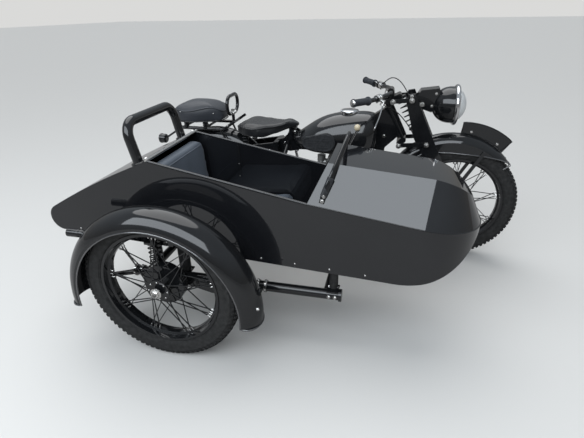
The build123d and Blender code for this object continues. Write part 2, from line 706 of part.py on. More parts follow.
# Rack: two long bars with cross bars and stays, the passenger's grab ring and the pillion's springs
rack_half = 95
rack_z = 704
rack_bar = 8
ring_x = -550
ring_z = 832
ring_half = (84, 50)
ring_bar = 10
stay_half = plate_out + 10
pillion_z = 741
with BuildPart() as rack:
    for side in (-1, 1):
        y = bike_y + side * rack_half
        bent_tube([(-846, y, rack_z), (-580, y, rack_z), (-508, y, 752)], (40,), rack_bar)
        foot = (rear_x, bike_y + side * stay_half, axle_z)
        rod(foot, (-770, y, rack_z), 6)
        rod((rear_x, bike_y + side * (plate_out + seat_gap), axle_z), (rear_x, bike_y + side * (stay_half + 7), axle_z), 16)
        rod((-600, y, rack_z), (-520, bike_y + side * (plate_out + 8), 536), 6)
        rod((-520, bike_y + side * (plate_out + seat_gap), 536), (-520, bike_y + side * (plate_out + 15), 536), 10)
        for x in (-690, -808):
            coil((x, y, rack_z), (x, y, pillion_z), 15, 4, 3)
    for x, z in ((-838, rack_z), (-700, rack_z), (ring_x, 724)):
        rod((x, bike_y - rack_half, z), (x, bike_y + rack_half, z), rack_bar - 1)
    with BuildLine(Plane(origin=(ring_x, bike_y, ring_z), x_dir=(0, 1, 0), z_dir=(1, 0, 0))) as oval:
        wide, high = ring_half
        FilletPolyline((-wide, -high), (wide, -high), (wide, high), (-wide, high), radius=high - 4, close=True)
    with BuildSketch(Plane(origin=oval.line @ 0, z_dir=oval.line % 0)) as round_bar:
        Circle(ring_bar)
    sweep(sections=round_bar.sketch, path=oval.line)
    rod((ring_x, bike_y, 724), (ring_x, bike_y, ring_z - ring_half[1]), ring_bar - 1)
    bent_tube([(-838, bike_y, rack_z), (-905, bike_y, rack_z - 30), (-1003, bike_y, 612)], (60,), 6)
    rod(rear_hub - Vector(0, 150, 0), rear_hub + Vector(0, 150, 0), axle_radius + seat_gap, mode=Mode.SUBTRACT)
save(rack, "rack")

with BuildPart() as pillion_pad:
    with BuildSketch(side_plane(bike_y)):
        with BuildLine():
            low = pillion_z + seat_gap
            ThreePointArc((-918, 784), (-751, 858), (-592, 800))
            ThreePointArc((-592, 800), (-586, 776), (-604, low))
            Polyline((-604, low), (-890, low), (-918, 784))
        make_face()
    extrude(amount=125, both=True)
    with BuildSketch(Plane.XY.offset(700)):
        with Locations((-790, bike_y)):
            Ellipse(131, 125)
        with Locations((-640, bike_y)):
            RectangleRounded(112, 150, 50)
        make_hull()
    extrude(amount=200, mode=Mode.INTERSECT)
    crown(-1000, (126, 800), 859)
    add(rack.part, mode=Mode.SUBTRACT)
save(pillion_pad, "pillion_pad")

rear_guard_radius = 365
with BuildPart() as rear_mudguard:
    guard(rear_hub, rear_guard_radius, plate_in - seat_gap, 60, 25, 192)
save(rear_mudguard, "rear_mudguard")

with BuildPart() as tail_lamp:
    rod((-1004, bike_y, 604), (-1049, bike_y, 604), 28)
    fillet(tail_lamp.edges().filter_by(GeomType.CIRCLE).sort_by(Axis.X)[-1], 12)
    add(rack.part, mode=Mode.SUBTRACT)
save(tail_lamp, "tail_lamp")

# Drive chain: one fixed loop round the two sprockets
chain_depth = 9
chain_width = 7
chain_gap = 0.5
with BuildPart() as chain:
    with BuildSketch(side_plane(bike_y + chain_line)):
        for grown, mode in ((chain_gap + chain_depth, Mode.ADD), (chain_gap, Mode.SUBTRACT)):
            with BuildSketch(side_plane(bike_y + chain_line), mode=Mode.PRIVATE) as loop:
                with Locations((gearbox[0], 300)):
                    Circle(32 + grown)
                with Locations((rear_x, axle_z)):
                    Circle(sprocket_radius + grown)
                make_hull()
            add(loop.sketch, mode=mode)
    extrude(amount=chain_width / 2, both=True)
save(chain, "chain")

# Footrests under the engine, cranked up over the exhaust, and the kick starter on the gearbox's left
footrest_x = 62
footrest_z = 207
with BuildPart() as footrests:
    for side in (-1, 1):
        start = core_half + seat_gap
        points = [(footrest_x, bike_y + side * y, footrest_z + z) for y, z in ((start, 0), (108, 0), (128, 51), (216, 51))]
        bent_tube(points, (16, 16), 9)
        rod(points[0], (footrest_x, bike_y + side * (start + 6), footrest_z), 17)
        rod((footrest_x, bike_y + side * 138, footrest_z + 51), points[3], 15)
save(footrests, "footrests")

with BuildPart() as kick_starter:
    y = bike_y + gearbox_left + seat_gap
    bent_tube([(-150, y, 376), (-150, bike_y + 92, 376), (-196, bike_y + 96, 540), (-196, bike_y + 168, 542)], (14, 14), 8)
    rod((-196, bike_y + 118, 541), (-196, bike_y + 176, 542), 13)
save(kick_starter, "kick_starter")

with BuildPart() as rear_axle:
    rod(rear_hub - Vector(0, stay_half + 22, 0), rear_hub + Vector(0, stay_half + 22, 0), axle_radius)
    for side in (-1, 1):
        rod(rear_hub + Vector(0, side * (stay_half + 7 + seat_gap), 0), rear_hub + Vector(0, side * (stay_half + 19), 0), axle_nut)
    rod(rear_hub - Vector(0, plate_in - seat_gap, 0), rear_hub - Vector(0, hub_half + 1, 0), 16)
    rod(rear_hub + Vector(0, chain_line + sprocket_wall / 2 + 1, 0), rear_hub + Vector(0, plate_in - seat_gap, 0), 16)
save(rear_axle, "rear_axle")

# Centre stand: two legs folded back, joined near their feet
stand_length = 226
stand_leg = 8
stand_in = plate_out + 5.5
with BuildPart() as centre_stand:
    for side in (-1, 1):
        with BuildSketch(side_plane(bike_y + side * (stand_in + stand_leg / 2))):
            bar((pivot_x, pivot_z), (pivot_x - stand_length, pivot_z - 6), 26)
            with Locations((pivot_x - stand_length - 4, pivot_z - 8)):
                Rectangle(46, 18)
        extrude(amount=stand_leg / 2, both=True)
        rod((pivot_x, bike_y + side * plate_out, pivot_z), (pivot_x, bike_y + side * (stand_in + 1), pivot_z), stand_pin_radius + 5)
    rod((pivot_x, bike_y - stand_in - 1, pivot_z), (pivot_x, bike_y + stand_in + 1, pivot_z), stand_pin_radius)
    rod((pivot_x - 150, bike_y - stand_in - 1, pivot_z - 30), (pivot_x - 150, bike_y + stand_in + 1, pivot_z - 30), 7)
    for side in (-1, 1):
        with Locations((pivot_x - 150, bike_y + side * (stand_in + stand_leg / 2), pivot_z - 20)):
            Box(20, stand_leg, 34)
save(centre_stand, "centre_stand")

# Sidecar body: sheet sides that stand upright, a floor, a humped tail and a faceted foredeck
body_half = 225
body_y = car_y + 375
body_right = body_y - body_half
body_left = body_y + body_half
body_wall = 3
nose_tip = (740, 574)
nose_start = nose_tip[0] - body_half
tail_low = (-1022, 455)
floor_front = (427, 367)
gunwale_rear = (-548, 801)
crease_rear = (88, 674)
deck_rear = (151, 808.5)
deck_front = (527, 768)
# The facets lean in by facet_lean for each facet_rise of height, and the ridge is below facet_top
facet_lean = 97
facet_rise = 150
facet_top = 180


def body_outline():
    """The tub's outline from the side, in the open line."""
    tail = ThreePointArc(gunwale_rear, (-805, 690), (-1041, 566))
    tail_round = TangentArc(tail @ 1, tail_low, tangent=tail % 1)
    floor = Line(tail_round @ 1, floor_front)
    nose = TangentArc(floor @ 1, nose_tip, tangent=floor % 1)
    Polyline(nose @ 1, crease_rear, gunwale_rear)


def body_plan(inset):
    """The tub's plan shape stood upright, set in from the outside."""
    with BuildPart() as upright:
        with BuildSketch(Plane.XY.offset(200)):
            with Locations((nose_start, body_y)):
                Circle(body_half - inset)
                Rectangle(1700, 2 * (body_half - inset), align=(Align.MAX, Align.CENTER))
        extrude(amount=700)
    return upright.part


with BuildSketch(side_plane(body_y)) as outline:
    with BuildLine():
        body_outline()
    make_face()
with BuildSketch(side_plane(body_y)) as inner_outline:
    offset(outline.sketch, amount=-body_wall)

with BuildPart() as tub:
    add(body_plan(0))
    extrude(outline.sketch, amount=300, both=True, mode=Mode.INTERSECT)

with BuildPart() as tub_walls:
    add(tub.part)
    add(body_plan(body_wall), mode=Mode.SUBTRACT)

for name, side in (("body_side_right", -1), ("body_side_left", 1)):
    with BuildPart() as half:
        add(tub_walls.part)
        with Locations((0, body_y + side * (250 + seat_gap / 2), 500)):
            Box(3000, 500, 1000, mode=Mode.INTERSECT)
    save(half, name)

# The sheets between the sides, as (name, the part of the outline's ring that each takes)
sheets = (
    ("body_floor", [(tail_low[0] + seat_gap, 300), (800, 300), (800, 550), (560, 550), (tail_low[0] + seat_gap, 500)]),
    ("rear_deck", [(tail_low[0], 300), (tail_low[0], 500), (-575, 640), (gunwale_rear[0] - 1, 700), (gunwale_rear[0] - 1, 900), (-1200, 900), (-1200, 300)]),
)
for name, region in sheets:
    with BuildPart() as sheet:
        with BuildSketch(side_plane(body_y)):
            add(outline.sketch)
            add(inner_outline.sketch, mode=Mode.SUBTRACT)
            with BuildLine():
                Polyline(*region, close=True)
            make_face(mode=Mode.INTERSECT)
        extrude(amount=300, both=True)
        add(body_plan(body_wall + seat_gap), mode=Mode.INTERSECT)
    save(sheet, name)

slope = (nose_tip[1] - crease_rear[1]) / (nose_tip[0] - crease_rear[0])
crease = Plane(origin=(crease_rear[0], body_y, crease_rear[1] + seat_gap), x_dir=(1, 0, slope), z_dir=(-slope, 0, 1))
crease_length = (Vector(*nose_tip) - Vector(*crease_rear)).length


def facets(inset, low, back):
    """The foredeck's leaning sides and round nose, from low up to the ridge."""
    with BuildPart() as leaning:
        for height in (low, facet_top):
            reach = body_half - inset - facet_lean * height / facet_rise
            with BuildSketch(crease.offset(height)):
                with Locations((crease_length - body_half, 0)):
                    Circle(reach)
                    Rectangle(crease_length - body_half + back, 2 * reach, align=(Align.MAX, Align.CENTER))
        loft()
    return leaning.part


def deck_profile(back, inset):
    """The foredeck's side outline stood across it, from back behind its rear edge."""
    with BuildPart() as profile:
        with BuildSketch(side_plane(body_y)):
            with BuildLine():
                fall = (deck_front[1] - deck_rear[1]) / (deck_front[0] - deck_rear[0])
                start = (deck_rear[0] - back, deck_rear[1] - back * fall - inset)
                ridge = Line(start, (deck_front[0], deck_front[1] - inset))
                nose = TangentArc(ridge @ 1, (nose_tip[0] - inset, nose_tip[1]), tangent=ridge % 1)
                Polyline(nose @ 1, (nose_tip[0] - inset, 500), (crease_rear[0] - back, 500),
                         (crease_rear[0] - back, crease_rear[1]), start)
            make_face()
        extrude(amount=300, both=True)
    return profile.part


with BuildPart() as deck_hollow:
    add(facets(body_wall + 1, -20, 100))
    add(deck_profile(100, body_wall), mode=Mode.INTERSECT)

with BuildPart() as foredeck:
    add(facets(0, 0, 0))
    add(deck_profile(0, 0), mode=Mode.INTERSECT)
    add(deck_hollow.part, mode=Mode.SUBTRACT)
save(foredeck, "foredeck")

# Seat: a cushion on the floor and a backrest whose upper corners are rounded
cushion_front = -60
cushion_back = -478
floor_lean = (tail_low[1] - floor_front[1]) / (tail_low[0] - floor_front[0])
cushion_half = body_half - body_wall - 2
with BuildPart() as seat_cushion:
    with BuildSketch(side_plane(body_y)):
        with BuildLine():
            low = [(x, tail_low[1] + (x - tail_low[0]) * floor_lean + body_wall + 1) for x in (cushion_back, cushion_front)]
            Polyline(low[0], low[1], (cushion_front, 506), (cushion_front - 20, 524), (cushion_back, 500), close=True)
        make_face()
    extrude(amount=cushion_half, both=True)
save(seat_cushion, "seat_cushion")

backrest_half = body_half - 13
with BuildPart() as backrest:
    with BuildSketch(side_plane(body_y)):
        with BuildLine():
            Polyline((cushion_back - seat_gap, 470), (-508, 768), (-516, 778), (-549, 786), (-558, 776), (-524, 470), close=True)
        make_face()
    extrude(amount=backrest_half, both=True)
    with BuildSketch(Plane(origin=(-400, body_y, 470), x_dir=(0, 1, 0), z_dir=(1, 0, 0))) as face:
        Rectangle(2 * backrest_half, 313, align=(Align.CENTER, Align.MIN))
        fillet(face.vertices().group_by(Axis.Z)[-1], 60)
    extrude(amount=-300, mode=Mode.INTERSECT)
save(backrest, "backrest")

# Hoop over the tail and grab handle on the foredeck
hoop_radius = 20
hoop_half = 190
hoop_top = (-641, 936)
with BuildPart() as hoop:
    foot_x, foot_z = -603, 765
    bent_tube([(foot_x, body_y - hoop_half, foot_z), (hoop_top[0], body_y - hoop_half, hoop_top[1]),
               (hoop_top[0], body_y + hoop_half, hoop_top[1]), (foot_x, body_y + hoop_half, foot_z)],
              (62, 62), hoop_radius)
    add(tub.part, mode=Mode.SUBTRACT)
save(hoop, "hoop")

strap_thickness = 6
strap_width = 22
with BuildPart() as grab_handle:
    # Half of the strap from the foot up, as (reach from the middle, z)
    half = [(body_half - 16.5, 697), (body_half - 29, 745), (body_half - 65, 800), (36, 885)]
    foot, bend = Vector(145, body_y, 697), Vector(212, body_y, 885)
    lean = (bend - foot).normalized()
    points = [(reach, (z - foot.Z) / lean.Z) for reach, z in half]
    with BuildSketch(Plane(origin=foot, x_dir=(0, 1, 0), z_dir=(lean.Z, 0, -lean.X))):
        with BuildLine():
            FilletPolyline(*points, *[(-reach, rise) for reach, rise in points[::-1]], radius=36)
            offset(amount=strap_thickness / 2, side=Side.BOTH)
        make_face()
    extrude(amount=strap_width / 2, both=True)
    add(foredeck.part, mode=Mode.SUBTRACT)
save(grab_handle, "grab_handle")

# Chassis of tubes, with brackets for the body, the mudguard and the sidecar wheel's spring
tube_radius = 21.5
cross_radius = 19
rail_z = 268
rail_right = body_y - 205
rail_left = body_y + 205
rail_front = 231
rail_rear = -700
front_cross = 264
rear_cross = -330
frame_face = bike_y - core_half - seat_gap
plate_face = bike_y - plate_out - seat_gap
mount_right = body_y - 183
mount_left = body_y + 183
# Rubber blocks under the body, as (x, radius)
blocks = ((194, 18), (-470, 25))
post_y = rail_right - 27
arm_y = car_y + 92
spring_x = -563
spring_y = arm_y + 16
spring_low = 352
spring_high = 460
arm_pivot = (-300, 286)
stay_front_x = -108
stay_rear_x = -838
car_guard_centre = Vector(car_x, car_y, 262)
car_guard_radius = 418
car_guard_half = 76
guard_side = car_y + car_guard_half + seat_gap
with BuildPart() as chassis:
    for y in (rail_right, rail_left):
        rod((rail_rear, y, rail_z), (rail_front, y, rail_z), tube_radius)
    rod((rail_front - 12, rail_right, rail_z), (rail_front, rail_right, rail_z), tube_radius + 5)
    bent_tube([(rail_front - 60, rail_right, rail_z), (rail_front - 60, rail_left, rail_z),
               (front_cross, frame_face - 60, rail_z), (front_cross, frame_face, rail_z)], (60, 60), cross_radius)
    rod((front_cross, frame_face - 10, rail_z), (front_cross, frame_face, rail_z), tube_radius + 5)
    rod((rear_cross, rail_right, rail_z), (rear_cross, plate_face, rail_z), cross_radius)
    rod((rear_cross, plate_face - 10, rail_z), (rear_cross, plate_face, rail_z), tube_radius + 5)
    rod((-640, rail_right, rail_z), (-640, rail_left, rail_z), cross_radius)
    for x, radius in blocks:
        for rail, y in ((rail_right, mount_right), (rail_left, mount_left)):
            with Locations((x, (rail + y) / 2, rail_z + tube_radius - 1)):
                Box(2 * radius + 12, abs(rail - y) + 2 * radius, 6)
    # Mudguard stays
    for x in (stay_front_x, stay_rear_x):
        start = (max(x, rail_rear + 12), rail_right, rail_z)
        rod(start, (x, guard_side + 10, rail_z), 10)
        rod((x, guard_side + 12, rail_z), (x, guard_side, rail_z), 14)
    # Post that the sidecar wheel's spring hangs from
    with Locations((spring_x, post_y, (rail_z + spring_high) / 2)):
        Box(44, 8, spring_high - rail_z + 20)
    with Locations((spring_x, post_y + 4, spring_high + 5)):
        Box(44, post_y + 4 - spring_y + 22, 10, align=(Align.CENTER, Align.MAX, Align.CENTER))
    with Locations((spring_x, post_y + 5, rail_z)):
        Box(44, 18, 30)
    rod((arm_pivot[0], arm_y - 12, arm_pivot[1]), (arm_pivot[0], rail_right, arm_pivot[1]), 14)
save(chassis, "chassis")

with BuildPart() as body_mounts:
    for x, radius in blocks:
        top = tail_low[1] + (x - tail_low[0]) * floor_lean
        with Locations((x, mount_right, rail_z + tube_radius + 2 + seat_gap), (x, mount_left, rail_z + tube_radius + 2 + seat_gap)):
            Cylinder(radius, top - rail_z, align=(Align.CENTER, Align.CENTER, Align.MIN))
    add(tub.part, mode=Mode.SUBTRACT)
save(body_mounts, "body_mounts")

with BuildPart() as struts:
    for low, high in (((-250, rail_left, rail_z), (-214, frame_face, 626)), ((150, rail_left, rail_z), (313, frame_face, 560))):
        rod(low, (high[0], high[1] - 12, high[2] - 8), 14)
        rod((high[0], high[1] - 24, high[2] - 12), high, 16)
    with Locations((0, frame_face + 50, 500)):
        Box(1000, 100, 600, mode=Mode.SUBTRACT)
    add(chassis.part, mode=Mode.SUBTRACT)
save(struts, "struts")

# Swing arm with the sidecar wheel's axle and brake plate, and the spring on it
with BuildPart() as swing_arm:
    with BuildSketch(side_plane(arm_y)):
        with Locations(arm_pivot):
            Circle(24)
        with Locations((car_x, axle_z)):
            Circle(26)
        make_hull()
        with BuildLine():
            Polyline((car_x, axle_z - 20), (car_x, axle_z + 20), (spring_x - 24, spring_low - seat_gap), (spring_x - 24, spring_low - 14),
                     close=True)
        make_face()
    extrude(amount=9, both=True)
    with Locations((spring_x, (arm_y - 9 + spring_y + 24) / 2, spring_low - seat_gap - 4)):
        Box(48, spring_y + 24 - arm_y + 9, 8)
    rod(car_hub - Vector(0, 58, 0), (car_x, arm_y, axle_z), axle_radius)
    rod(car_hub - Vector(0, 58, 0), car_hub - Vector(0, hub_half + 6, 0), axle_nut - 1)
    rod(car_hub + Vector(0, hub_half + 1, 0), (car_x, arm_y, axle_z), 17)
    rod(car_hub + Vector(0, hub_half + 2, 0), car_hub + Vector(0, hub_half + 8, 0), drum_radius)
    rod((arm_pivot[0], arm_y - 40, arm_pivot[1]), (arm_pivot[0], arm_y + 100, arm_pivot[1]), 14 + pin_gap, mode=Mode.SUBTRACT)
save(swing_arm, "swing_arm")

with BuildPart() as sidecar_spring:
    coil((spring_x, spring_y, spring_low), (spring_x, spring_y, spring_high - seat_gap), 20, 6, 6)
save(sidecar_spring, "sidecar_spring")

with BuildPart() as sidecar_mudguard:
    guard(car_guard_centre, car_guard_radius, car_guard_half, 68, -5, 185)
save(sidecar_mudguard, "sidecar_mudguard")

lamp_x_z = (-820, 535)
with BuildPart() as marker_lamp:
    centre = Vector(lamp_x_z[0], car_y, lamp_x_z[1])
    rod(centre + Vector(24, 0, 0), centre - Vector(36, 0, 0), 17)
    fillet(marker_lamp.edges().filter_by(GeomType.CIRCLE).sort_by(Axis.X)[-1], 14)
    out = (centre - car_guard_centre).normalized()
    rod(car_guard_centre + out * (car_guard_radius + seat_gap), centre, 7)
save(marker_lamp, "marker_lamp")
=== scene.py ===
"""Looks of a black motorcycle with a boat-shaped sidecar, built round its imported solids."""
import bpy
import bmesh
from math import asin, atan2, cos, pi, radians, sin, tan
from mathutils import Matrix, Vector
from mathutils.bvhtree import BVHTree


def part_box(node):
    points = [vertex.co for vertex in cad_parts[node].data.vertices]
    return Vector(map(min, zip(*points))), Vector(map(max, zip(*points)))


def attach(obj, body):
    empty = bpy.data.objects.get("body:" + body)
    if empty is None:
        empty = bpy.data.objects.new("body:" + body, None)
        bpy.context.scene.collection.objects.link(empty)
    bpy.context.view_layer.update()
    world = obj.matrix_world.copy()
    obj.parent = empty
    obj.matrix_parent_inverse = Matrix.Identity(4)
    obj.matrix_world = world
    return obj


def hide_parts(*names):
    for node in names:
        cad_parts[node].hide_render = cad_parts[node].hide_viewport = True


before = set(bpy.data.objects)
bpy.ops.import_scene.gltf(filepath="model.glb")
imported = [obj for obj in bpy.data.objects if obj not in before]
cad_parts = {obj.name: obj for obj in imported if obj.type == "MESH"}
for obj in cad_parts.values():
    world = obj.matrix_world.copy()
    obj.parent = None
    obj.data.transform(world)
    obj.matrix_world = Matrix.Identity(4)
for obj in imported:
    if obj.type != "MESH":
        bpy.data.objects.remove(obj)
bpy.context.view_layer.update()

# Camera. It stands where the photograph was taken from, to the right of the outfit and above it,
# turned a little to the back and looking down at the sidecar.
def link(name, data):
    """A new object that holds the data, in the scene."""
    piece = bpy.data.objects.new(name, data)
    bpy.context.scene.collection.objects.link(piece)
    return piece


eye = Vector((0.3728, -1.9379, 1.3240))
yaw, pitch, roll = radians(-13.730), radians(26.459), radians(0.990)
# The lens's focal length, as a share of the picture's width
focal = 422.46 / 584
ahead = Vector((sin(yaw) * cos(pitch), cos(yaw) * cos(pitch), -sin(pitch)))
right = Vector((cos(yaw), -sin(yaw), 0))
down = ahead.cross(right)
right, down = right * cos(roll) + down * sin(roll), down * cos(roll) - right * sin(roll)
camera = link("camera", bpy.data.cameras.new("camera"))
camera.data.sensor_width = 36
camera.data.lens = 36 * focal
camera.data.clip_start = 0.01
camera.matrix_world = Matrix.Translation(eye) @ Matrix((right, -down, -ahead)).transposed().to_4x4()
bpy.context.scene.camera = camera
bpy.context.scene.view_settings.view_transform = "Standard"

# Light. An open overcast sky, a large soft lamp above and a broad one behind the camera, which the
# leaning panels mirror, over a pale floor that is painted darker where glossy surfaces mirror it, as
# painted shade in their reflections. The backdrop is pale.
def with_inputs(node, **values):
    """A node with its named inputs set. An underscore in a name stands for a space."""
    for label, value in values.items():
        node.inputs[label.replace("_", " ")].default_value = value
    return node


def shader_node(tree, kind, **values):
    return with_inputs(tree.nodes.new(f"ShaderNode{kind}"), **values)


def wired(tree, *links):
    """Joins outputs to inputs, each link as (node, output, node, input)."""
    for start, out, end, into in links:
        tree.links.new(start.outputs[out], end.inputs[into])


def two_tones(ramp, *stops):
    """Sets both stops of a colour ramp, each as (position, colour)."""
    for element, (position, colour) in zip(ramp.color_ramp.elements, stops):
        element.position = position
        element.color = (*colour, 1)


def mixed(tree, low, high):
    """A node that mixes two colours."""
    mix = tree.nodes.new("ShaderNodeMix")
    mix.data_type = "RGBA"
    return with_inputs(mix, A=(*low, 1), B=(*high, 1))


def tuned(material, **values):
    """The same material, with its surface's named inputs set."""
    with_inputs(material.node_tree.nodes["Principled BSDF"], **values)
    return material


def blank(name, **values):
    """A new material with its surface's named inputs set, as (material, tree, surface)."""
    stuff = bpy.data.materials.new(name)
    stuff.use_nodes = True
    return tuned(stuff, **values), stuff.node_tree, stuff.node_tree.nodes["Principled BSDF"]


world = bpy.data.worlds.new("sky")
bpy.context.scene.world = world
world.use_nodes = True
sky = world.node_tree
background = sky.nodes["Background"]
where, split, ramp, seen, choice, calm = (shader_node(sky, kind) for kind in (
    "TexCoord", "SeparateXYZ", "ValToRGB", "LightPath", "MixShader", "Math"))
plain = shader_node(sky, "Background", Color=(0.70, 0.70, 0.69, 1), Strength=1.0)
two_tones(ramp, (0.0, (0.42, 0.41, 0.39)), (0.55, (0.84, 0.92, 1.0)))
# The sky's strength, and how much weaker it is in what the paint mirrors
sky_strength, mirror_loss = 0.60, 0.18
calm.operation = "MULTIPLY_ADD"
calm.inputs[1].default_value, calm.inputs[2].default_value = -mirror_loss, sky_strength
wired(sky, (where, "Generated", split, 0), (split, "Z", ramp, 0), (ramp, 0, background, 0),
      (seen, "Is Camera Ray", choice, 0), (seen, "Is Glossy Ray", calm, 0), (calm, 0, background, "Strength"),
      (background, 0, choice, 1), (plain, 0, choice, 2), (choice, 0, sky.nodes["World Output"], 0))
for name, kind, place, aim, power in (("sky_lamp", "SUN", (-0.8, 1.2, 4.0), (0, 0, 0.4), 1.5),
                                      ("broad_lamp", "AREA", (-0.9, -3.2, 3.2), (-0.2, -0.3, 0.6), 150)):
    light = link(name, bpy.data.lights.new(name, kind))
    light.data.energy = power
    light.location = place
    light.rotation_euler = (Vector(aim) - Vector(place)).to_track_quat("-Z", "Y").to_euler()
bpy.data.lights["sky_lamp"].angle = radians(60)
broad_light = bpy.data.lights["broad_lamp"]
broad_light.shape, broad_light.size, broad_light.size_y = "RECTANGLE", 5.6, 2.3
broad_light.color = (0.88, 0.94, 1.0)

floor_mesh = bpy.data.meshes.new("floor")
floor_mesh.from_pydata([(-40, -30, 0), (40, -30, 0), (40, 60, 0), (-40, 60, 0)], [], [(0, 1, 2, 3)])
concrete, slab, surface = blank("pale_floor", Roughness=0.9)
# The floor's colour is painted darker for glossy rays only: painted shade in what the paint mirrors, while
# the camera sees the floor pale.
met, tone = shader_node(slab, "LightPath"), mixed(slab, (0.60, 0.59, 0.57), (0.30, 0.29, 0.28))
wired(slab, (met, "Is Glossy Ray", tone, "Factor"), (tone, "Result", surface, "Base Color"))
floor_mesh.materials.append(concrete)
link("floor", floor_mesh)

# Tyres. Black rubber on 19-inch rims, ribbed at the bead. Each carcass is turned about its axle, and
# five rows of moulded blocks are set round it.
tyre_radius = 0.331
# The motorcycle's middle plane
bike_y = 0.422
hubs = {"front": Vector((0.744, bike_y, tyre_radius)), "rear": Vector((-0.656, bike_y, tyre_radius)),
        "sidecar": Vector((-0.473, -0.692, tyre_radius))}
along_axle = Vector((0, 1, 0))
block_height = 0.0055
blocks_in_row = 84


def set_piece(name, shape, body, slot, *nodes):
    """A finished piece, which rides on its body and stands for the nodes named. A list is joined first."""
    piece = link(name, joined(name, shape) if isinstance(shape, list) else shape)
    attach(piece, body)
    if nodes:
        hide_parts(*nodes)
    return piece


def mesh_of(name, verts, faces, material=None):
    """A mesh with its doubles merged and its faces outwards."""
    mesh = bpy.data.meshes.new(name)
    mesh.from_pydata([tuple(v) for v in verts], [], faces)
    work = bmesh.new()
    work.from_mesh(mesh)
    bmesh.ops.remove_doubles(work, verts=work.verts, dist=1e-6)
    bmesh.ops.dissolve_degenerate(work, edges=work.edges, dist=1e-7)
    bmesh.ops.recalc_face_normals(work, faces=work.faces)
    work.to_mesh(mesh)
    work.free()
    if material:
        mesh.materials.append(material)
    return mesh


def smooth(mesh, degrees=35):
    """A mesh shaded smooth, apart from the edges that turn by more."""
    mesh.shade_smooth()
    mesh.set_sharp_from_angle(angle=radians(degrees))
    return mesh


def ring(way, count):
    """Directions set evenly round a line."""
    side = way.orthogonal().normalized()
    other = way.cross(side)
    return [side * cos(2 * pi * k / count) + other * sin(2 * pi * k / count) for k in range(count)]


def quads_between(here, there, count, shift=0):
    """The faces between two loops of count points, which start at the places here and there."""
    return [(here + j, here + (j + 1) % count, there + (j + 1 + shift) % count, there + (j + shift) % count)
            for j in range(count)]


def turned(name, profile, centre, way, material=None, steps=32):
    """A closed profile turned about a line. The profile is (place along the line, radius)."""
    way = Vector(way).normalized()
    count = len(profile)
    verts, faces = [], []
    for k, out in enumerate(ring(way, steps)):
        verts += [Vector(centre) + way * along + out * radius for along, radius in profile]
        faces += quads_between(k * count, (k + 1) % steps * count, count)
    return smooth(mesh_of(name, verts, faces, material))


def joined(name, meshes):
    """One mesh from several, each with its own materials."""
    whole = bmesh.new()
    materials = []
    for mesh in meshes:
        places = []
        for material in mesh.materials:
            if material not in materials:
                materials.append(material)
            places.append(materials.index(material))
        first = len(whole.faces)
        whole.from_mesh(mesh)
        whole.faces.ensure_lookup_table()
        for face in whole.faces[first:]:
            face.material_index = places[face.material_index] if places else 0
    mesh = bpy.data.meshes.new(name)
    whole.to_mesh(mesh)
    whole.free()
    for material in materials:
        mesh.materials.append(material)
    return mesh


def tapered_blocks(name, rows):
    """Blocks that narrow upwards, as (x, y, z of the foot's middle, length, width, height, lean about X)."""
    verts, faces = [], []
    for x, y, z, length, width, height, lean in rows:
        base = len(verts)
        for top, share in ((0, 1), (1, 0.8)):
            for sx, sy in ((-1, -1), (1, -1), (1, 1), (-1, 1)):
                dy, dz = sy * width / 2 * share, top * height
                verts.append((x + sx * length / 2 * share, y + dy * cos(lean) - dz * sin(lean),
                              z + dy * sin(lean) + dz * cos(lean)))
        faces += [(base + 4, base + 5, base + 6, base + 7), (base + 3, base + 2, base + 1, base)]
        faces += quads_between(base, base + 4, 4)
    return mesh_of(name, verts, faces)


def node_tree(name, inputs):
    """An empty Geometry Nodes tree with the named inputs, and its input and output nodes."""
    tree = bpy.data.node_groups.new(name, "GeometryNodeTree")
    tree.interface.new_socket("Geometry", in_out="INPUT", socket_type="NodeSocketGeometry")
    for label, kind in inputs:
        tree.interface.new_socket(label, in_out="INPUT", socket_type=f"NodeSocket{kind}")
    tree.interface.new_socket("Geometry", in_out="OUTPUT", socket_type="NodeSocketGeometry")
    return tree, tree.nodes.new("NodeGroupInput"), tree.nodes.new("NodeGroupOutput")


def shape_now(piece):
    """The plain mesh that an object's modifiers make of it."""
    return bpy.data.meshes.new_from_object(piece.evaluated_get(bpy.context.evaluated_depsgraph_get()))


def shaped(piece):
    """The same, once modifiers that have just been set are worked out."""
    piece.update_tag()
    bpy.context.view_layer.update()
    return shape_now(piece)


def grown(tree, values, name, base=None):
    """The plain mesh that a Geometry Nodes tree makes on base from the named values."""
    holder = link(name, base or bpy.data.meshes.new(name))
    modifier = holder.modifiers.new("nodes", "NODES")
    modifier.node_group = tree
    for socket in tree.interface.items_tree:
        if socket.in_out == "INPUT" and socket.name in values:
            modifier[socket.identifier] = values[socket.name]
    shape = shaped(holder)
    holder.modifiers.clear()
    bpy.data.objects.remove(holder)
    shape.name = name
    return shape


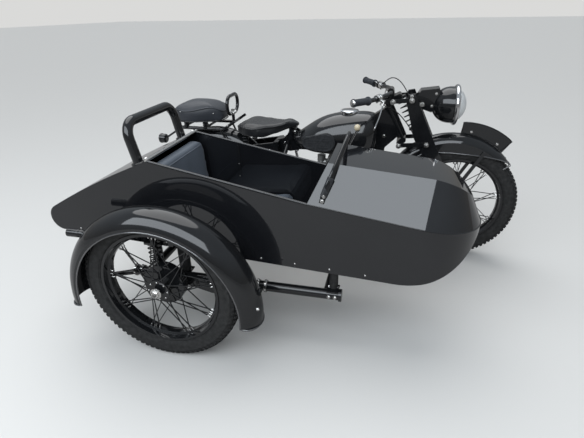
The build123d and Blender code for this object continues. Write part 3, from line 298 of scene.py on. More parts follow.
# The tree that sets copies of a moulded block round an axle
ring_tree, given, made = node_tree("blocks_round_axle", (
    ("Piece", "Object"), ("Count", "Int"), ("Radius", "Float"), ("Start", "Float"), ("Centre", "Vector"),
    ("Material", "Material")))
points, index, copies, source, real, move, paint = (ring_tree.nodes.new(f"GeometryNode{kind}") for kind in (
    "Points", "InputIndex", "InstanceOnPoints", "ObjectInfo", "RealizeInstances", "Transform", "SetMaterial"))
share, angle, turn_node, reach_node, swing = (shader_node(ring_tree, kind) for kind in (
    "Math", "Math", "CombineXYZ", "CombineXYZ", "VectorRotate"))
share.operation, angle.operation = "DIVIDE", "MULTIPLY_ADD"
angle.inputs[1].default_value = 2 * pi
swing.rotation_type = "Y_AXIS"
wired(ring_tree, (given, "Count", points, "Count"), (index, 0, share, 0), (given, "Count", share, 1),
      (share, 0, angle, 0), (given, "Start", angle, 2), (given, "Radius", reach_node, "Z"),
      (reach_node, 0, swing, "Vector"), (angle, 0, swing, "Angle"), (swing, 0, points, "Position"),
      (angle, 0, turn_node, "Y"), (given, "Piece", source, "Object"), (points, 0, copies, "Points"),
      (source, "Geometry", copies, "Instance"), (turn_node, 0, copies, "Rotation"), (copies, 0, real, 0),
      (real, 0, move, "Geometry"), (given, "Centre", move, "Translation"), (move, 0, paint, "Geometry"),
      (given, "Material", paint, "Material"), (paint, 0, made, 0))


def block_ring(name, mesh, radius, centre, material, start=0.0):
    """Blocks set evenly round an axle, at one radius."""
    unit = link(name + "_unit", mesh)
    values = {"Piece": unit, "Count": blocks_in_row, "Radius": radius, "Centre": Vector(centre),
              "Start": start, "Material": material}
    shape = grown(ring_tree, values, name)
    bpy.data.objects.remove(unit)
    return shape


def rubber(name, colour, grain, bump, roughness=0.75):
    """Moulded rubber, dusty where it is worn, with a fine grain."""
    stuff, tree, surface = blank(name, Roughness=roughness, Specular_IOR_Level=0.35)
    place, noise = shader_node(tree, "TexCoord"), shader_node(tree, "TexNoise", Scale=grain, Detail=8)
    tone, lift = shader_node(tree, "ValToRGB"), shader_node(tree, "Bump", Strength=bump, Distance=0.001)
    two_tones(tone, (0.35, colour), (0.8, [c * 2.1 + 0.006 for c in colour]))
    wired(tree, (place, "Object", noise, "Vector"), (noise, "Fac", tone, 0), (tone, 0, surface, "Base Color"),
          (noise, "Fac", lift, "Height"), (lift, 0, surface, "Normal"))
    return stuff


tyre_rubber = rubber("tyre_rubber", (0.013, 0.013, 0.013), 60, 0.25)
# Half of the carcass's section from the bead to the crown, as (place along the axle, radius)
carcass_half = [(0.0321, 0.2442), (0.0321, 0.2550), (0.0368, 0.2585), (0.0372, 0.2615), (0.0392, 0.2625),
                (0.0418, 0.2700), (0.0436, 0.2840), (0.0424, 0.3000), (0.0429, 0.3012), (0.0412, 0.3040),
                (0.0360, 0.3155), (0.0200, 0.3235), (0.0, 0.3258)]
carcass_section = [(-y, r) for y, r in carcass_half] + carcass_half[-2::-1]
block_pitch = 2 * pi * tyre_radius / blocks_in_row
middle_block = [(0, 0, 0, block_pitch * 0.62, 0.017, block_height, 0)]
# Side and shoulder rows, as (place along the axle, drop, share of pitch, width, share of height, lean)
outer_rows = ((0.0245, 0.0034, 0.66, 0.016, 1, 0.35), (0.0377, 0.0125, 0.5, 0.010, 0.7, 1.05))
side_blocks = [(0, s * y, -drop, block_pitch * length, width, block_height * rise, -s * lean)
               for y, drop, length, width, rise, lean in outer_rows for s in (-1, 1)]
tread_rows = (("middle_row", middle_block, 0), ("side_rows", side_blocks, pi / blocks_in_row))
for wheel, hub in hubs.items():
    rows = [turned("carcass", carcass_section, hub, along_axle, tyre_rubber, 120)]
    for label, blocks, start in tread_rows:
        block = tapered_blocks(label, blocks)
        rows.append(block_ring(label, block, tyre_radius - block_height, hub, tyre_rubber, start))
    set_piece(f"{wheel}_tyre_tread", rows, f"{wheel}_wheel", "tyre", f"{wheel}_tyre")

# Wheels. Black rolled-steel rims and pressed hubs with a brake drum on the left, laced with 36 spokes
# whose plated nipples stand in the rim's bed. Bright rivets ring each hub.
spokes_a_side = 18
spoke_sweep = 32


def rounding(tree, radius):
    """A node that rounds the edges of what it shades."""
    rounded = shader_node(tree, "Bevel", Radius=radius)
    rounded.samples = 4
    return rounded


def patchy(name, scale, detail, ranges, low, high, **values):
    """A material whose roughness and colour change in the patches of a noise.

    ranges holds the named inputs of the roughness's range, and low and high are the two colours. It
    returns the material, its tree, its surface and the node with the piece's own coordinates.
    """
    stuff, tree, surface = blank(name, **values)
    place, noise = shader_node(tree, "TexCoord"), shader_node(tree, "TexNoise", Scale=scale, Detail=detail)
    tone, tint = shader_node(tree, "MapRange", **ranges), mixed(tree, low, high)
    wired(tree, (place, "Object", noise, "Vector"), (noise, "Fac", tone, "Value"),
          (tone, 0, surface, "Roughness"), (noise, "Fac", tint, "Factor"),
          (tint, "Result", surface, "Base Color"))
    return stuff, tree, surface, place


def enamel(name, colour, roughness, dust=0.012, edge=0.0012, ripple=0.0):
    """Stove enamel: a deep gloss with a little dust, and edges rounded by the paint."""
    ranges = {"To_Min": roughness * 0.6, "To_Max": roughness * 1.6}
    paint, tree, surface, place = patchy(name, 9, 8, ranges, colour, [c + dust for c in colour],
                                         Coat_Weight=0.7, Coat_Roughness=0.03)
    rounded = rounding(tree, edge)
    if not ripple:
        wired(tree, (rounded, 0, surface, "Normal"))
        return paint
    wave = shader_node(tree, "TexNoise", Scale=4.5, Detail=1)
    lift = shader_node(tree, "Bump", Strength=ripple, Distance=0.01)
    wired(tree, (place, "Object", wave, "Vector"), (wave, "Fac", lift, "Height"),
          (rounded, 0, lift, "Normal"), (lift, 0, surface, "Normal"))
    return paint


def plated(name, colour, roughness, grain=40, wear=0.4):
    """Bare or plated metal, with tarnish that lies in patches."""
    ranges = {"From_Min": 0.35, "From_Max": 0.75, "To_Min": roughness,
              "To_Max": min(0.9, roughness * (1 + 3 * wear))}
    tarnish = [c * (1 - 0.6 * wear) for c in colour]
    metal, tree, surface, _ = patchy(name, grain, 9, ranges, colour, tarnish, Metallic=1)
    wired(tree, (rounding(tree, 0.0006), 0, surface, "Normal"))
    return metal


def finish_node(material, *names):
    """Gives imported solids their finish."""
    for name in names:
        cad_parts[name].data.materials.clear()
        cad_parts[name].data.materials.append(material)


def pins(name, rows, material=None, sides=8):
    """Round pins closed at both ends, as (start, end, radius at the start, radius at the end)."""
    verts, faces = [], []
    for start, end, low, high in rows:
        base = len(verts)
        outs = ring((Vector(end) - Vector(start)).normalized(), sides)
        verts += [Vector(start) + out * low for out in outs] + [Vector(end) + out * high for out in outs]
        faces += quads_between(base, base + sides, sides)
        faces += [tuple(range(base, base + sides))[::-1], tuple(range(base + sides, base + 2 * sides))]
    return smooth(mesh_of(name, verts, faces, material), 50)


# The tree that seats copies of a fastener on points, each along its own way and at its own size
seat_tree, given, made = node_tree("fasteners_on_points", (("Piece", "Object"), ("Material", "Material")))
way_in, size_in, copies, source, real, paint = (seat_tree.nodes.new(f"GeometryNode{kind}") for kind in (
    "InputNamedAttribute", "InputNamedAttribute", "InstanceOnPoints", "ObjectInfo", "RealizeInstances",
    "SetMaterial"))
way_in.data_type, size_in.data_type = "FLOAT_VECTOR", "FLOAT"
with_inputs(way_in, Name="way")
with_inputs(size_in, Name="size")
aim = seat_tree.nodes.new("FunctionNodeAlignRotationToVector")
aim.axis = "Z"
wired(seat_tree, (given, "Geometry", copies, "Points"), (given, "Piece", source, "Object"),
      (source, "Geometry", copies, "Instance"), (way_in, 0, aim, "Vector"), (aim, 0, copies, "Rotation"),
      (size_in, 0, copies, "Scale"), (copies, 0, real, 0), (real, 0, paint, "Geometry"),
      (given, "Material", paint, "Material"), (paint, 0, made, 0))

up = Vector((0, 0, 1))
# Heads one unit across the flats, as (place along the axis, radius) with six or more sides
hex_head = [(0.08, 0), (0.08, 0.575), (0.60, 0.575), (0.70, 0.48), (0.70, 0)]
washer = [(0, 0), (0, 0.74), (0.10, 0.74), (0.10, 0)]
thread_end = [(0.6, 0), (0.6, 0.30), (0.98, 0.30), (1.04, 0.24), (1.04, 0)]
dome = [(0, 0), (0, 0.5), (0.12, 0.49), (0.26, 0.38), (0.33, 0.2), (0.35, 0)]


def bolt_shape(kind):
    """A rivet, a bolt's head or a nut, one unit across."""
    if kind == "rivet":
        return turned("rivet", dome, (0, 0, 0), up, steps=12)
    parts = [("head", hex_head, 6), ("washer", washer, 16)]
    if kind == "nut":
        parts.append(("thread", thread_end, 10))
    return joined(kind, [turned(label, profile, (0, 0, 0), up, steps=steps)
                         for label, profile, steps in parts])


def fasteners(name, kind, rows, material):
    """Fasteners seated on points, as (place, way out, width across)."""
    seats = bpy.data.meshes.new(name)
    seats.from_pydata([tuple(place) for place, _, _ in rows], [], [])
    ways = seats.attributes.new("way", "FLOAT_VECTOR", "POINT")
    ways.data.foreach_set("vector", [c for _, way, _ in rows for c in way])
    widths = seats.attributes.new("size", "FLOAT", "POINT")
    widths.data.foreach_set("value", [across for _, _, across in rows])
    unit = link(name + "_unit", bolt_shape(kind))
    shape = grown(seat_tree, {"Piece": unit, "Material": material}, name, seats)
    bpy.data.objects.remove(unit)
    return shape


black = tuned(enamel("black_enamel", (0.005, 0.0055, 0.0065), 0.10, dust=0.006), Specular_IOR_Level=0.3)
bright = plated("bright_plate", (0.82, 0.81, 0.79), 0.14)
dull_steel = plated("dull_steel", (0.30, 0.29, 0.28), 0.38)
finish_node(black, "front_wheel", "rear_wheel", "sidecar_wheel")
for wheel, hub in hubs.items():
    nipples = []
    # Each side's spokes, as (foot's place along the axle, turn of the first)
    for foot_y, turn_by in ((-0.033, 0), (0.011, 5)):
        for k in range(spokes_a_side):
            angle_out = radians(360 / spokes_a_side * k + turn_by + (spoke_sweep if k % 2 else -spoke_sweep))
            out = Vector((cos(angle_out), 0, sin(angle_out)))
            root = hub + out * 0.2300 + along_axle * foot_y / 8
            nipples.append((root, root - out * 0.014 + along_axle * foot_y * 0.06, 0.0042, 0.0028))
    rivets = [(hub + Vector((0.040 * cos(pi * k / 4), -0.038, 0.040 * sin(pi * k / 4))), -along_axle, 0.008)
              for k in range(8)]
    laced = [pins("nipples", nipples, bright, 8), fasteners("drum_rivets", "rivet", rivets, bright)]
    set_piece(f"{wheel}_nipples", laced, f"{wheel}_wheel", "chrome")

# Mudguards. Three deep guards pressed from black sheet, half round at the crown, with a wired edge
# rolled all the way round the mouth. They hang on flat stays.
def swept(name, points, radius, material=None, sides=10, closed=False):
    """A round bar along smooth points, with flat closed ends unless it is a loop."""
    points = [Vector(p) for p in points]
    count = len(points)
    ways = []
    for k in range(count):
        before = points[k - 1] if k or closed else points[0]
        after = points[(k + 1) % count] if k < count - 1 or closed else points[-1]
        ways.append((after - before).normalized())
    around = [(cos(2 * pi * j / sides), sin(2 * pi * j / sides)) for j in range(sides)]
    side = ways[0].orthogonal().normalized()
    verts, faces = [], []
    for point, way in zip(points, ways):
        side = (side - way * side.dot(way)).normalized()
        other = way.cross(side)
        verts += [point + (side * across + other * up_it) * radius for across, up_it in around]
    for k in range(count if closed else count - 1):
        here, there = k * sides, (k + 1) % count * sides
        shift = 0
        if closed and k == count - 1:
            shift = min(range(sides), key=lambda s: (verts[s] - verts[here]).length)
        faces += quads_between(here, there, sides, shift)
    if not closed:
        faces += [tuple(range(sides))[::-1], tuple(range((count - 1) * sides, count * sides))]
    return smooth(mesh_of(name, verts, faces, material), 50)


# Each guard, as (body, wheel side of its centre, crown radius, half width, depth, first and last angle)
guards = {
    "front_mudguard": ("front_fork", Vector((0.702, bike_y, 0.360)), 0.359, 0.057, 0.062, 36, 168),
    "rear_mudguard": ("outfit", Vector((-0.656, bike_y, 0.331)), 0.365, 0.0617, 0.060, 25, 192),
    "sidecar_mudguard": ("outfit", Vector((-0.473, -0.692, 0.262)), 0.418, 0.076, 0.068, -5, 185),
}
bead_radius = 0.0034
bead_black = tuned(enamel("bead_enamel", (0.014, 0.015, 0.018), 0.08), Coat_Weight=1.0, Coat_IOR=2.3)
crown_share = 0.72
# The front guard's lower edge, which drops behind the fork as a deep valance, as (x, z)
front_edge = [(0.990, 0.572), (0.985, 0.580), (0.964, 0.589), (0.941, 0.597), (0.902, 0.605), (0.862, 0.612),
              (0.776, 0.618), (0.690, 0.623), (0.625, 0.622), (0.562, 0.620)]
front_edge += [(0.702 + 0.297 * cos(radians(a)), 0.360 + 0.297 * sin(radians(a))) for a in range(123, 169, 5)]
for node, (body, centre, crown, half, depth, first, last) in guards.items():
    finish_node(black, node)

    def at(radius, y, angle):
        return centre + Vector((radius * cos(radians(angle)), y, radius * sin(radians(angle))))

    low, spring = crown - depth, crown - crown_share * half
    lip = half - 0.0008
    arc = [(spring + (crown - spring) * sin(pi * k / 12), -lip * cos(pi * k / 12)) for k in range(13)]
    steps = 40
    edge = [at(low, 0, first + (last - first) * k / steps) for k in range(steps + 1)]
    if node == "front_mudguard":
        edge = [Vector((x, bike_y, z)) for x, z in front_edge]
    mouth = [p - Vector((0, lip, 0)) for p in edge]
    mouth += [at(radius, y, last) for radius, y in arc]
    mouth += [p + Vector((0, lip, 0)) for p in edge[::-1]]
    mouth += [at(radius, y, first) for radius, y in arc[::-1]]
    bead = swept(f"{node}_bead", mouth, bead_radius, bead_black, 8, closed=True)
    set_piece(f"{node}_bead", bead, body, "black_paint")

# Number plate. Two plain black blades of sheet with a raised rim, which stand along the front guard's
# crown on two small bolts.
finish_node(black, "front_plate")
centre, crown = guards["front_mudguard"][1:3]


def on_crown(height, angle, y=0.0):
    """A point over the front guard's crown, at an angle in degrees and y beside its middle."""
    reach = crown + height
    return centre + Vector((reach * cos(radians(angle)), y, reach * sin(radians(angle))))


def arc_through(a, b, c, count):
    """Points on the circle through three points of the motorcycle's middle plane."""
    (ax, az), (bx, bz), (cx, cz) = a, b, c
    d = 2 * (ax * (bz - cz) + bx * (cz - az) + cx * (az - bz))
    far_a, far_b, far_c = ax * ax + az * az, bx * bx + bz * bz, cx * cx + cz * cz
    ux = (far_a * (bz - cz) + far_b * (cz - az) + far_c * (az - bz)) / d
    uz = (far_a * (cx - bx) + far_b * (ax - cx) + far_c * (bx - ax)) / d
    radius = ((ax - ux) ** 2 + (az - uz) ** 2) ** 0.5
    first, last = atan2(az - uz, ax - ux), atan2(cz - uz, cx - ux)
    angles = [first + (last - first) * k / count for k in range(count + 1)]
    return [Vector((ux + radius * cos(angle), bike_y, uz + radius * sin(angle))) for angle in angles]


plate_rim = arc_through((0.988, 0.684), (0.876, 0.752), (0.735, 0.777), 18)
plate_rim += [on_crown(0.004, a) for a in range(85, 47, -3)]
rims = [swept("rim", [p + Vector((0, s * 0.0016, 0)) for p in plate_rim], 0.0022, black, 6, closed=True)
        for s in (-1, 1)]
plate_rows = [(on_crown(0.016, a, s * 0.0015), (0, s, 0), 0.009) for a in (78, 55) for s in (-1, 1)]
set_piece("plate_rim", [*rims, fasteners("plate_bolts", "bolt", plate_rows, bright)],
          "front_fork", "body_paint")

# Girder fork. Two pressed blades swing on four flat links, held up by a coil spring of 7 mm wire.
# The pins end in plated nuts, and the parts are stove black.
def helix(start, end, radius, turns, lead_in=0.6, per_turn=18):
    """Points of a coil whose ends close up flat."""
    start, end = Vector(start), Vector(end)
    way = (end - start).normalized()
    side = way.orthogonal().normalized()
    other = way.cross(side)
    length = (end - start).length
    count = int(turns * per_turn)
    points = []
    for k in range(count + 1):
        turn_now = turns * k / count
        inside = min(max((turn_now - lead_in) / (turns - 2 * lead_in), 0), 1)
        out = side * cos(2 * pi * turn_now) + other * sin(2 * pi * turn_now)
        points.append(start + way * length * inside + out * radius)
    return points


def both_sides(places, reach, across):
    """Rows for fasteners on both flanks of the motorcycle, by the (x, z) of each and their reach."""
    return [(Vector((x, bike_y + s * reach, z)), (0, s, 0), across) for x, z in places for s in (-1, 1)]


rake = radians(27.5)
steer_up = Vector((-sin(rake), 0, cos(rake)))
steer_out = Vector((cos(rake), 0, sin(rake)))


def steering_point(z, ahead=0.0):
    return Vector((0.784 - z * tan(rake), bike_y, z)) + steer_out * ahead


finish_node(black, "fork_blades", "steering_stem", "front_axle", "fork_links")
spring_foot = Vector((0.492, bike_y, 0.722))
spring_head = steering_point(0.862, 0.076) + steer_up * 0.005
lift = (spring_head - spring_foot).normalized()
low, high = spring_foot + lift * 0.0123, spring_head - lift * 0.0003
wire_half = 0.0035
coil_path = helix(low + lift * (wire_half + 0.003), high - lift * (wire_half + 0.003), 0.027 - wire_half, 8)
cap_section = [(-0.003, 0), (-0.003, 0.0265), (0.002, 0.0265), (0.004, 0.016), (0.012, 0.014), (0.012, 0)]
caps = [turned("cap", cap_section, place + lift * side * 0.003, lift * side, black, 24)
        for place, side in ((low, 1), (high, -1))]
set_piece("fork_coil", [swept("coil", coil_path, wire_half, black, 8), *caps],
          "front_fork", "black_paint", "fork_spring")

link_pins = [(0.363, 0.888), (0.457, 0.898), (0.412, 0.659), (0.553, 0.672)]
nut_rows = both_sides(link_pins, 0.0993, 0.019) + both_sides([(0.744, tyre_radius)], 0.0963, 0.030)
blade_bolts = both_sides(((0.455, 0.915), (0.640, 0.520)), 0.0853, 0.013)
set_piece("fork_nuts", [fasteners("nuts", "nut", nut_rows, bright),
                        fasteners("bolts", "bolt", blade_bolts, bright)], "front_fork", "chrome")

# Steering damper. A round black knob, ribbed for the fingers and domed at its crown. It is screwed
# on the stem above the top bracket by a plated screw in its middle.
knob_foot = steering_point(0.862) + steer_up * 0.0385
knob_radius, knob_ribs = 0.0215, 20
ribs = []
for k in range(knob_ribs):
    out = Vector((0, 1, 0)) * sin(2 * pi * k / knob_ribs) + steer_out * cos(2 * pi * k / knob_ribs)
    rib_low, rib_high = (knob_foot - steer_up * drop + out * knob_radius for drop in (0.011, 0.002))
    ribs.append((rib_low, rib_high, 0.0022, 0.0018))
crown_section = [(-0.002, 0), (-0.002, knob_radius), (0.0005, 0.0205), (0.0025, 0.015), (0.0030, 0)]
knob_screw = [(knob_foot + steer_up * 0.0028, steer_up, 0.012)]
set_piece("damper_knob", [pins("ribs", ribs, black, 6),
                          turned("crown", crown_section, knob_foot, steer_up, black, 32),
                          fasteners("screw", "rivet", knob_screw, bright)], "front_fork", "black_paint")

# Headlamp. A black bowl closed by a deep chromed rim that grips a fluted lens. A silvered dish and a
# bulb sit behind the glass. The bowl hangs in a faceted bracket with an upturned collar.
def glass(name, colour, flutes=0.0):
    """Moulded lamp glass, with upright flutes where it has them."""
    flute_pitch, roughness = 0.009, 0.03
    pane, tree, surface = blank(name, Base_Color=(*colour, 1), IOR=1.45, Transmission_Weight=0.45)
    place, noise = shader_node(tree, "TexCoord"), shader_node(tree, "TexNoise", Scale=70)
    tone = shader_node(tree, "MapRange", To_Min=roughness, To_Max=roughness * 4)
    wired(tree, (place, "Object", noise, "Vector"), (noise, "Fac", tone, "Value"),
          (tone, 0, surface, "Roughness"))
    if flutes:
        split, scale, wave = (shader_node(tree, kind) for kind in ("SeparateXYZ", "Math", "Math"))
        scale.operation, wave.operation = "MULTIPLY", "SINE"
        scale.inputs[1].default_value = 2 * pi / flute_pitch
        lift = shader_node(tree, "Bump", Strength=flutes, Distance=0.002)
        wired(tree, (place, "Object", split, 0), (split, "Y", scale, 0), (scale, 0, wave, 0),
              (wave, 0, lift, "Height"), (lift, 0, surface, "Normal"))
    return pane


chrome = plated("bright_chrome", (0.80, 0.80, 0.81), 0.05, grain=30, wear=0.25)
lamp_glass = glass("lamp_glass", (0.96, 0.98, 0.99), flutes=0.5)
silvered = plated("silvered_dish", (0.96, 0.96, 0.95), 0.30, wear=0.1)
lit_glass = glass("bulb_glass", (0.95, 0.93, 0.85))
finish_node(black, "headlamp_shell", "lamp_bracket")
finish_node(chrome, "headlamp_rim")
forward = Vector((1, 0, 0))
lamp = Vector((0.668, bike_y, 0.864))
# Sections of the lens outside and inside, of the dish and of the bulb, as (place ahead, radius)
lens_out = [(0.0640, 0), (0.0632, 0.012), (0.0606, 0.026), (0.0562, 0.040), (0.0500, 0.052), (0.0416, 0.064),
            (0.0310, 0.073), (0.0180, 0.0776)]
lens_in = [(0.0180, 0.0750), (0.0300, 0.0706), (0.0400, 0.0618), (0.0480, 0.0502), (0.0538, 0.0386),
           (0.0580, 0.0250), (0.0605, 0.0115), (0.0612, 0)]
dish = [(0.0010, 0), (0.0010, 0.028), (0.0030, 0.045), (0.0080, 0.060), (0.0150, 0.0735), (0.0165, 0.0770),
        (0.0005, 0.0776), (0.0004, 0)]
bulb = [(0.0008, 0), (0.0008, 0.009), (0.0100, 0.010), (0.0200, 0.012), (0.0280, 0.0105), (0.0330, 0.0060),
        (0.0345, 0)]
lens_parts = [turned(label, section, lamp, forward, material, steps) for label, section, material, steps in (
    ("lens", lens_out + lens_in, lamp_glass, 64), ("dish", dish, silvered, 64),
    ("bulb", bulb, lit_glass, 24))]
set_piece("headlamp_lens", lens_parts, "front_fork", "lamp_glass", "headlamp_glass")

# The rim's seam, its clamping screw below, and the bolts that the bowl turns on
seam_section = [(-0.0026, 0.0905), (-0.0026, 0.0936), (-0.0002, 0.0942), (0.0002, 0.0905)]
lamp_rows = [(lamp + Vector((0.011, 0, -0.0975)), (0, 0, -1), 0.009),
             *both_sides([(0.508, 0.878)], 0.0853, 0.017),
             *both_sides(((0.575, 0.925), (0.560, 0.862)), 0.0421, 0.010)]
set_piece("headlamp_seam", [turned("seam", seam_section, lamp, forward, black, 72),
                            fasteners("lamp_screws", "bolt", lamp_rows, bright)], "front_fork", "black_paint")

# Handlebar. One bent tube of 22 mm, stove black like the fork, clamped in the top bracket.
# Blue-grey rubber grips with moulded ribs are pushed over its ends and closed by domed plated caps.
def through(points, count):
    """Points of a smooth curve through the points given."""
    points = [Vector(p) for p in points]
    ends = [points[0] * 2 - points[1], *points, points[-1] * 2 - points[-2]]
    made = []
    for k in range(len(points) - 1):
        a, b, c, d = ends[k:k + 4]
        for t in (j / count for j in range(count)):
            straight = b * 2 + (c - a) * t
            bend = (a * 2 - b * 5 + c * 4 - d) * t ** 2
            made.append((straight + bend + (b * 3 - a - c * 3 + d) * t ** 3) / 2)
    return made + [points[-1]]


finish_node(black, "handlebar")
grip_rubber = rubber("grip_rubber", (0.021, 0.024, 0.029), 90, 0.3, roughness=0.55)
grip_section = [(0.0, 0.0113), (0.0, 0.0186), (0.0015, 0.0198), (0.0045, 0.0198), (0.0062, 0.0158)]
for k in range(15):
    x = 0.0095 + k * 0.0062
    grip_section += [(x, 0.0154), (x + 0.001, 0.0167), (x + 0.0038, 0.0167), (x + 0.0048, 0.0154)]
grip_section += [(0.1035, 0.0158), (0.1060, 0.0213), (0.1100, 0.0213), (0.1120, 0.0190), (0.1120, 0.0113)]
end_cap = [(0.0006, 0), (0.0006, 0.0152), (-0.0020, 0.0152), (-0.0050, 0.0128), (-0.0074, 0.0080),
           (-0.0084, 0)]
grip_parts, cap_parts = [], []
for s in (-1, 1):
    end, inner = Vector((0.185, bike_y + s * 0.360, 0.927)), Vector((0.262, bike_y + s * 0.250, 0.921))
    grip_parts.append(turned("grip", grip_section, end, inner - end, grip_rubber, 36))
    cap_parts.append(turned("end_cap", end_cap, end, inner - end, bright, 28))
set_piece("ribbed_grips", grip_parts, "front_fork", "rubber", "grips")
set_piece("grip_caps", cap_parts, "front_fork", "chrome")

# Levers. Plated blades that curve down past the grips and widen to rounded ends, each on a clamp with
# a pinch bolt and a pivot bolt. A black dip switch sits beside the far clamp.
def blade(name, points, facing, sizes, material, sides=12):
    """A flattened bar along smooth points, thin towards facing.

    sizes gives its half width and half depth at a share of its length.
    """
    verts, faces, count = [], [], len(points)
    for k, centre in enumerate(points):
        way = (points[min(k + 1, count - 1)] - points[max(k - 1, 0)]).normalized()
        thin = (Vector(facing) - way * way.dot(Vector(facing))).normalized()
        wide = way.cross(thin)
        half, deep = sizes(k / (count - 1))
        for j in range(sides):
            a = 2 * pi * (j + 0.5) / sides
            across, through_it = (c * abs(c) ** -0.35 for c in (cos(a), sin(a)))
            verts.append(centre + wide * half * across + thin * deep * through_it)
    for k in range(count - 1):
        faces += quads_between(k * sides, (k + 1) * sides, sides)
    faces += [tuple(range(sides))[::-1], tuple(range((count - 1) * sides, count * sides))]
    return smooth(mesh_of(name, verts, faces, material), 50)


def lever_size(share):
    """Slim at the pivot, wide near the end, and rounded off at it."""
    half = 0.0052 + 0.0042 * share ** 1.5
    close = max(0.0, (share - 0.93) / 0.07)
    half *= (1 - close ** 2) ** 0.5 if close < 1 else 0.12
    return half, 0.0036 - 0.0006 * share


clamp_section = [(0.0, 0.0114), (0.0, 0.0168), (0.0012, 0.0182), (0.0150, 0.0182), (0.0162, 0.0168),
                 (0.0162, 0.0114)]
lever_parts, lever_bolts = [], []
for s in (-1, 1):
    outer, inner = Vector((0.284, bike_y + s * 0.214, 0.923)), Vector((0.300, bike_y + s * 0.184, 0.925))
    way = (inner - outer).normalized()
    lever_parts += [turned("clamp", clamp_section, outer + way * gap, way, bright, 32)
                    for gap in (0.001, 0.0178)]
    pivot = Vector((0.322, bike_y + s * 0.206, 0.905))
    lug = through([outer + way * 0.017 + Vector((0.010, 0, -0.006)), pivot], 6)
    lever_parts.append(blade("lug", lug, (0, 0, 1), lambda share: (0.0110 - 0.002 * share, 0.0065), bright))
    path = through([pivot, (0.316, bike_y + s * 0.232, 0.893), (0.306, bike_y + s * 0.262, 0.846),
                    (0.286, bike_y + s * 0.300, 0.790)], 12)
    lever_parts.append(blade("blade", path, (1, 0, 0), lever_size, chrome, 14))
    lever_bolts += [(pivot + up * side * 0.0062, (0, 0, side), 0.009) for side in (1, -1)]
    lever_bolts.append((outer + way * 0.017 + Vector((-0.006, 0, -0.0185)), (0, 0, -1), 0.008))
lever_parts.append(fasteners("lever_bolts", "bolt", lever_bolts, bright))
set_piece("lever_blades", lever_parts, "front_fork", "chrome", "hand_levers")
switch_at, switch_way = Vector((0.2705, 0.6605, 0.9205)), Vector((0.40, -0.90, -0.02)).normalized()
switch_middle = switch_at + switch_way * 0.010
switch_section = [(0, 0.0112), (0, 0.0175), (0.002, 0.019), (0.018, 0.019), (0.020, 0.0175), (0.020, 0.0112)]
button_section = [(0, 0), (0, 0.0065), (0.006, 0.0060), (0.007, 0.0045), (0.007, 0)]
toggle = [(switch_middle + Vector((-0.012, 0, 0.012)), switch_middle + Vector((-0.026, 0, 0.020)),
           0.0030, 0.0022)]
set_piece("dip_switch", [turned("switch", switch_section, switch_at, switch_way, black, 28),
                         pins("lever", toggle, bright, 10),
                         turned("button", button_section, switch_middle + Vector((0.004, 0, 0.017)),
                                (0.1, 0, 1), bright, 16)], "front_fork", "black_paint")

# Control cables. Two sheathed steel wires in black woven cover: one arches from the far clamp over to
# the lamp, the other drops from the near lever past the head to the fork's lower links.
woven = rubber("woven_cover", (0.012, 0.012, 0.012), 900, 0.6, roughness=0.6)
cable_radius = 0.0026
# Each cable, as its length and the points of its route
cable_routes = {
    "lamp_cable": (0.287, [(0.300, 0.600, 0.936), (0.322, 0.565, 0.966), (0.358, 0.512, 0.985),
                           (0.398, 0.472, 0.966), (0.436, 0.440, 0.915), (0.458, 0.430, 0.880)]),
    "brake_cable": (0.406, [(0.318, 0.232, 0.902), (0.326, 0.262, 0.876), (0.340, 0.330, 0.862),
                            (0.386, 0.368, 0.832), (0.430, 0.372, 0.788), (0.468, 0.369, 0.742),
                            (0.496, 0.366, 0.690), (0.514, 0.364, 0.640)]),
}
for name, (length, route) in cable_routes.items():
    curve = bpy.data.curves.new(name, "CURVE")
    curve.dimensions = "3D"
    line = curve.splines.new("NURBS")
    line.points.add(len(route) - 1)
    for point, place in zip(line.points, route):
        point.co = (*place, 1)
    line.order_u = 3
    line.use_endpoint_u = True
    curve.resolution_u = 12
    curve.bevel_depth = cable_radius
    curve.bevel_resolution = 3
    curve.use_fill_caps = True
    curve.materials.append(woven)
    cable = link(name, curve)
    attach(cable, "front_fork")

# Frame. A pressed steel beam, welded and stove black, with two plates bolted on behind it that
# carry the rear axle. Hex bolts hold the plates, the saddle's post and the tank.
def skin_tree(mesh):
    """A mesh as a tree that rays are cast at."""
    return BVHTree.FromPolygons([v.co for v in mesh.vertices], [tuple(p.vertices) for p in mesh.polygons])


node_skins = {}


def onto(node, start, way):
    """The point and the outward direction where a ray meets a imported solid."""
    if node not in node_skins:
        node_skins[node] = skin_tree(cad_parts[node].data)
    return node_skins[node].ray_cast(Vector(start), Vector(way).normalized())[:2]


def seated(node, way, places, across):
    """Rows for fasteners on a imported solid, each found by a ray against the way that they stand out."""
    rows = []
    for place in places:
        point, out = onto(node, Vector(place) + Vector(way) * 0.3, -Vector(way))
        if point is not None:
            rows.append((point, out, across))
    return rows


finish_node(black, "frame", "rear_plates", "centre_stand")
beam_places = [(0.330, 0.690), (0.060, 0.676), (0.296, 0.470), (0.290, 0.300)]
plate_places = [(-0.312, z) for z in (0.236, 0.300, 0.500, 0.586)] + [(-0.420, 0.560), (-0.520, 0.536)]
frame_bolts = []
for s in (-1, 1):
    for node, places, across in (("frame", beam_places, 0.013), ("rear_plates", plate_places, 0.014)):
        frame_bolts += seated(node, (0, s, 0), [(x, bike_y + s * 0.02, z) for x, z in places], across)
